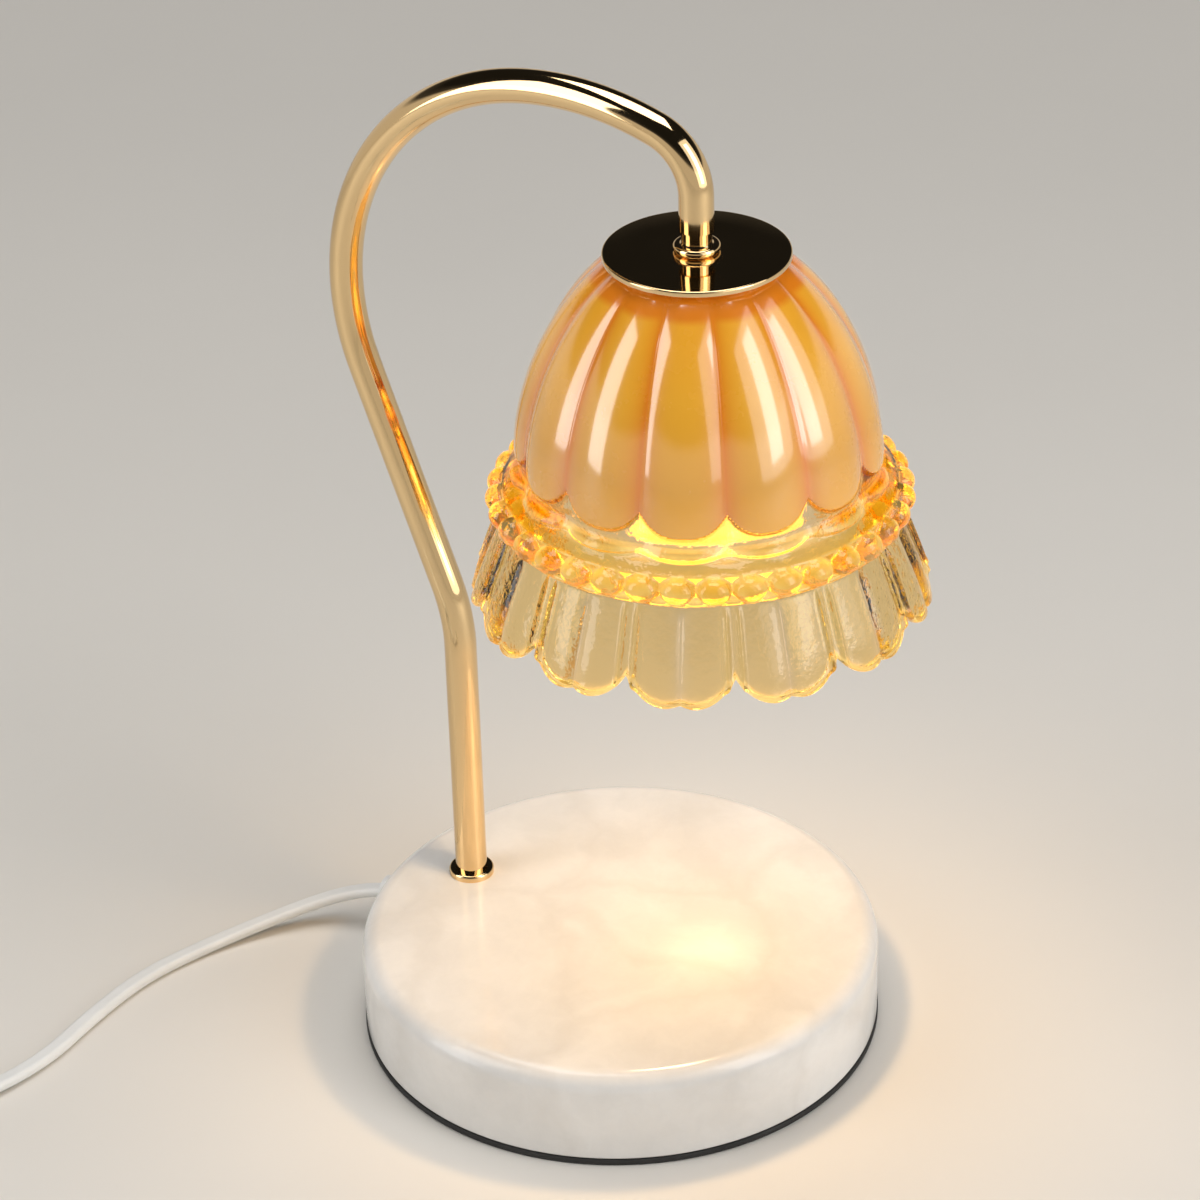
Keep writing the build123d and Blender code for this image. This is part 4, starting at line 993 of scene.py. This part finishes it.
        # inside of the rim and the dome, and under the top plate
        inner_rim = ((0.0539, 0.0775), (0.0530, 0.0745), (0.0512, 0.0710), (0.0492, 0.0675))
        for radius, drop in inner_rim:
            add(self.plain, radius, drop)
        count = 30
        plate, inner_foot = 0.0036, 0.064
        for step in range(count + 1):
            drop = inner_foot + (plate - inner_foot) * sin(pi / 2 * step / count)
            add(self.lobed, self.dome(drop) - sizes.wall, self.dome_groove(drop) * 0.55, drop)
        add(self.plain, 0.012, plate)
        add(self.plain, sizes.hole_radius, plate)
        return rows


class LAMP_OT_shade(Operator):
    """Press the fluted, beaded and petalled glass shade"""

    bl_idname = "lamp.shade"
    bl_label = "Glass shade"

    def execute(self, context):
        sizes = context.scene.lamp_shade
        form = ShadeForm(sizes)
        rows = form.rows()
        columns = sizes.lobes * sizes.beads * 2
        turns = [sizes.lobe_phase + 2 * pi * step / columns for step in range(columns)]
        vertices = []
        drops = []
        for row in rows:
            for turn in turns:
                radius, drop = row(turn)
                vertices.append(
                    (head.x + radius * cos(turn), radius * sin(turn), shade_top - drop)
                )
                drops.append(drop)
        faces = grid_faces(len(rows), columns, loop_rows=True)
        shade = add_piece("shade", vertices, faces, "lamp", clear_glass_finish(), "glass_shade")
        # the second material, the pearl coating, covers the flutes down to their round tips
        shade.data.materials.append(lustre_finish())
        edges = [form.coat_edge(form.across(turn)) for turn in turns]
        slots = []
        for index, face in enumerate(faces):
            row, column = divmod(index, columns)
            slots.append(int(row < form.dome_rows and drops[face[0]] < edges[column]))
        shade.data.polygons.foreach_set("material_index", slots)
        return {"FINISHED"}


# ------------------------------------------------------------------ fittings and lamp
def dress(material, names):
    """Put one material on the carried-over parts named."""
    for name in names.split():
        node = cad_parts[name]
        if not node.material_slots:
            node.data.materials.append(material)
        for slot in node.material_slots:
            slot.material = material


class LAMP_OT_fittings(Operator):
    """Finish the clamp parts, the lampholder and the reflector lamp"""

    bl_idname = "lamp.fittings"
    bl_label = "Fittings and lamp"

    def execute(self, context):
        steel = metal_finish("zinc steel", (0.62, 0.62, 0.60))
        brass = metal_finish("contact brass", (0.78, 0.60, 0.30))
        ceramic = plastic_finish("white ceramic", (0.78, 0.76, 0.72), 0.2, 0.35)
        soft = plastic_finish("soft rubber", (0.42, 0.40, 0.37), 0.5, 0.65)
        brown = plastic_finish("brown lead", (0.16, 0.06, 0.03))
        blue = plastic_finish("blue lead", (0.03, 0.09, 0.30))
        silver = Finish("silvered reflector", (0.88, 0.87, 0.84), 0.12, 1.0)
        silver.mottle((0.84, 0.83, 0.80), (0.92, 0.91, 0.88), 160)
        silver.polish(0.08, 0.2, 200)
        silver.set("Emission Color", (1.0, 0.55, 0.16))
        silver.set("Emission Strength", 2.0)
        lens = Finish("lit lens", (1.0, 0.93, 0.80), 0.3)
        lens.mottle((1.0, 0.88, 0.70), (1.0, 0.95, 0.85), 240)
        lens.set("Emission Color", (1.0, 0.72, 0.38))
        lens.set("Emission Strength", 5.0)
        burner = Finish("burner glass", (0.95, 0.93, 0.9), 0.05)
        burner.mottle((0.90, 0.88, 0.85), (0.97, 0.95, 0.92), 300)
        dress(steel, "foot_washer foot_lock_washer foot_nut shade_washer shade_nut")
        dress(steel, "holder_bracket bracket_nut holder_screws bulb_pins")
        dress(brass, "holder_contacts")
        dress(ceramic, "lampholder bulb_base")
        dress(soft, "cap_gasket shade_gasket")
        dress(brown, "live_lead")
        dress(blue, "neutral_lead")
        dress(silver.material, "bulb_reflector")
        dress(lens.material, "bulb_lens")
        dress(burner.material, "bulb_burner")

        data = bpy.data.lights.new("lamp glow", "SPOT")
        data.energy = 1.05
        data.color = (1.0, 0.66, 0.32)
        data.spot_size = radians(128)
        data.spot_blend = 0.9
        data.shadow_soft_size = 0.02
        below_lens = 0.001
        glow = put("lamp glow", data)
        glow.location = (head.x, 0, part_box("bulb_lens")[0].z - below_lens)
        return {"FINISHED"}


# ------------------------------------------------------------------ cord, dimmer and plug
# Control points of the cords, in millimetres, in step with the solids' routes
lamp_route = [
    (-69.5, 0, 14),
    (-79.5, 0, 14.1),
    (-90, -0.6, 13.1),
    (-101, -4.2, 10.4),
    (-111.5, -12.2, 6.9),
    (-122, -25.5, 3.6),
    (-131.5, -43, 1.75),
    (-139, -66, 1.75),
    (-140, -92, 1.75),
    (-138.5, -117, 1.75),
    (-144, -142, 2.6),
    (-155, -163, 5.9),
    (-158.97, -176.9, 6.5),
    (-162.6, -189.59, 6.5),
]
supply_route = [
    (-173.8, -228.61, 6.5),
    (-177.43, -241.3, 6.5),
    (-181.4, -255.3, 5.9),
    (-182.4, -269.3, 4.6),
    (-177.4, -282.3, 3.4),
    (-167.3, -292.1, 2.5),
    (-154.1, -296.6, 1.95),
    (-140.1, -295.2, 1.75),
    (-128, -288.2, 1.75),
    (-113.4, -274.6, 1.75),
]
plug_route = [
    (-83.2, -229, 4.6),
    (-75.1, -217.6, 3.9),
    (-63.2, -210.4, 3.7),
    (-49.3, -208.7, 4.8),
    (-35.8, -212.3, 6.6),
    (-22.65, -217.07, 7.2),
]


def coil_route(sizes):
    """Points of the coil: three turns in on the floor, then three turns out on top of them."""
    per_turn = 20
    start, finish = radians(-46), radians(-15)
    # turns after which the cord starts to climb, and from which it runs outward again
    climb, back = 2.9, 3.1
    total = 6 * 2 * pi + finish - start
    count = round(total / (2 * pi) * per_turn)
    floor_height = 1.75 * MM
    points = []
    for step in range(count + 1):
        share = total * step / count
        turns = share / (2 * pi)
        layer = min(1.0, max(0.0, (turns - climb) / 0.2))
        column = max(1 - turns * 2 / climb, -1 + (turns - back) * 2 / climb)
        radius = sizes.coil_radius + sizes.width * max(-1.0, min(1.0, column))
        turn = start + share
        x, y = sizes.coil_x + radius * cos(turn), sizes.coil_y + radius * sin(turn)
        points.append((x, y, floor_height + sizes.thickness * layer))
    return points


def cord_section(sizes):
    """Closed outline of the flat cord, with a shallow groove between its cores."""
    data = bpy.data.curves.new("cord_section", "CURVE")
    data.dimensions = "2D"
    spline = data.splines.new("POLY")
    half = sizes.thickness / 2
    core = (sizes.width - sizes.thickness) / 2
    groove = 0.86
    steps = 10
    points = []
    for side in (1, -1):
        for step in range(steps + 1):
            turn = -pi / 2 + pi * step / steps
            points.append((side * (core + half * cos(turn)), side * half * sin(turn)))
        points.append((0, side * half * groove))
    spline.points.add(len(points) - 1)
    for point, (x, y) in zip(spline.points, points):
        point.co = (x, y, 0, 1)
    spline.use_cyclic_u = True
    section = put("cord_section", data)
    section.hide_render = True
    section.hide_viewport = True
    return section


def cord_curve(name, points, section, material):
    """A smooth flat cord along its control points, in metres."""
    data = bpy.data.curves.new(name, "CURVE")
    data.dimensions = "3D"
    data.twist_mode = "Z_UP"
    data.resolution_u = 8
    data.bevel_mode = "OBJECT"
    data.bevel_object = section
    data.use_fill_caps = True
    spline = data.splines.new("NURBS")
    spline.points.add(len(points) - 1)
    for point, place in zip(spline.points, points):
        point.co = (*place, 1)
    spline.order_u = 3
    spline.use_endpoint_u = True
    spline.use_smooth = True
    data.materials.append(material)
    cord = put(name, data)
    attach(cord, "lamp")
    return cord


def metres(points):
    """Points given in millimetres, in metres."""
    return [tuple(part * MM for part in point) for point in points]


def spline_length(cord):
    """Length of a cord's own line."""
    bare = cord.data.copy()
    bare.bevel_object = None
    bare.bevel_mode = "ROUND"
    probe = bpy.data.objects.new("probe", bare)
    line = bpy.data.meshes.new_from_object(probe)
    spots = [vertex.co.copy() for vertex in line.vertices]
    bpy.data.objects.remove(probe)
    bpy.data.curves.remove(bare)
    bpy.data.meshes.remove(line)
    return sum((after - before).length for before, after in zip(spots, spots[1:]))


class LAMP_OT_cord(Operator):
    """Lay the cord with its coil, and finish the dimmer and the plug"""

    bl_idname = "lamp.cord"
    bl_label = "Cord, dimmer and plug"

    def execute(self, context):
        sizes = context.scene.lamp_cord
        base = sizes.cord_colour
        white = plastic_finish("white cord", base)
        section = cord_section(sizes)
        first = cord_curve("lamp_flex", metres(lamp_route), section, white)
        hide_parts("lamp_cord")
        points = metres(supply_route) + coil_route(sizes) + metres(plug_route)
        second = cord_curve("supply_flex", points, section, white)
        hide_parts("supply_cord", "plug_cord", "cord_coil")

        case = plastic_finish("dimmer plastic", shaded(base, 0.98), 0.28, 0.36)
        grey = plastic_finish("wheel plastic", (0.30, 0.30, 0.31))
        steel = metal_finish("nickel steel", (0.66, 0.65, 0.62))
        green = plastic_finish("board green", (0.03, 0.16, 0.06))
        black = plastic_finish("tie black", (0.02, 0.02, 0.02))
        brass = metal_finish("blade brass", (0.76, 0.62, 0.36), 0.15, 0.28)
        dress(case, "cord_bushing dimmer_case_bottom dimmer_case_top")
        dress(case, "dimmer_sleeve_in dimmer_sleeve_out plug_body")
        dress(grey, "dimmer_wheel dimmer_potentiometer")
        dress(steel, "dimmer_shaft dimmer_terminals dimmer_screws")
        dress(green, "dimmer_board")
        dress(black, "coil_tie")
        dress(brass, "plug_blades")

        spline_length(first)
        spline_length(second)
        return {"FINISHED"}


# ------------------------------------------------------------------ panel and run
class LAMP_PT_panel(Panel):
    """Steps that dress the candle warmer lamp"""

    bl_label = "Candle warmer lamp"
    bl_idname = "LAMP_PT_panel"
    bl_space_type = "VIEW_3D"
    bl_region_type = "UI"
    bl_category = "Lamp"

    def draw(self, context):
        for step in steps:
            self.layout.operator(step.bl_idname)
        for group in settings_groups.values():
            self.layout.label(text=group.__doc__)
        self.layout.prop(context.scene.lamp_shade, "pearl_colour")
        self.layout.prop(context.scene.lamp_arm, "gold_colour")
        self.layout.prop(context.scene.lamp_base, "marble_colour")


steps = (
    LAMP_OT_stage,
    LAMP_OT_base,
    LAMP_OT_arm,
    LAMP_OT_shade,
    LAMP_OT_fittings,
    LAMP_OT_cord,
)
settings_groups = {
    "lamp_base": BaseSizes,
    "lamp_arm": ArmSizes,
    "lamp_shade": ShadeSizes,
    "lamp_cord": CordSizes,
    "lamp_stage": StageSettings,
}


def register():
    for name, group in settings_groups.items():
        bpy.utils.register_class(group)
        setattr(bpy.types.Scene, name, PointerProperty(type=group))
    for step in steps:
        bpy.utils.register_class(step)
    bpy.utils.register_class(LAMP_PT_panel)


def unregister():
    bpy.utils.unregister_class(LAMP_PT_panel)
    for step in reversed(steps):
        bpy.utils.unregister_class(step)
    for name, group in reversed(settings_groups.items()):
        delattr(bpy.types.Scene, name)
        bpy.utils.unregister_class(group)


def main():
    register()
    for step in steps:
        group, action = step.bl_idname.split(".")
        getattr(getattr(bpy.ops, group), action)()
    bpy.context.view_layer.update()


if __name__ == "__main__":
    main()
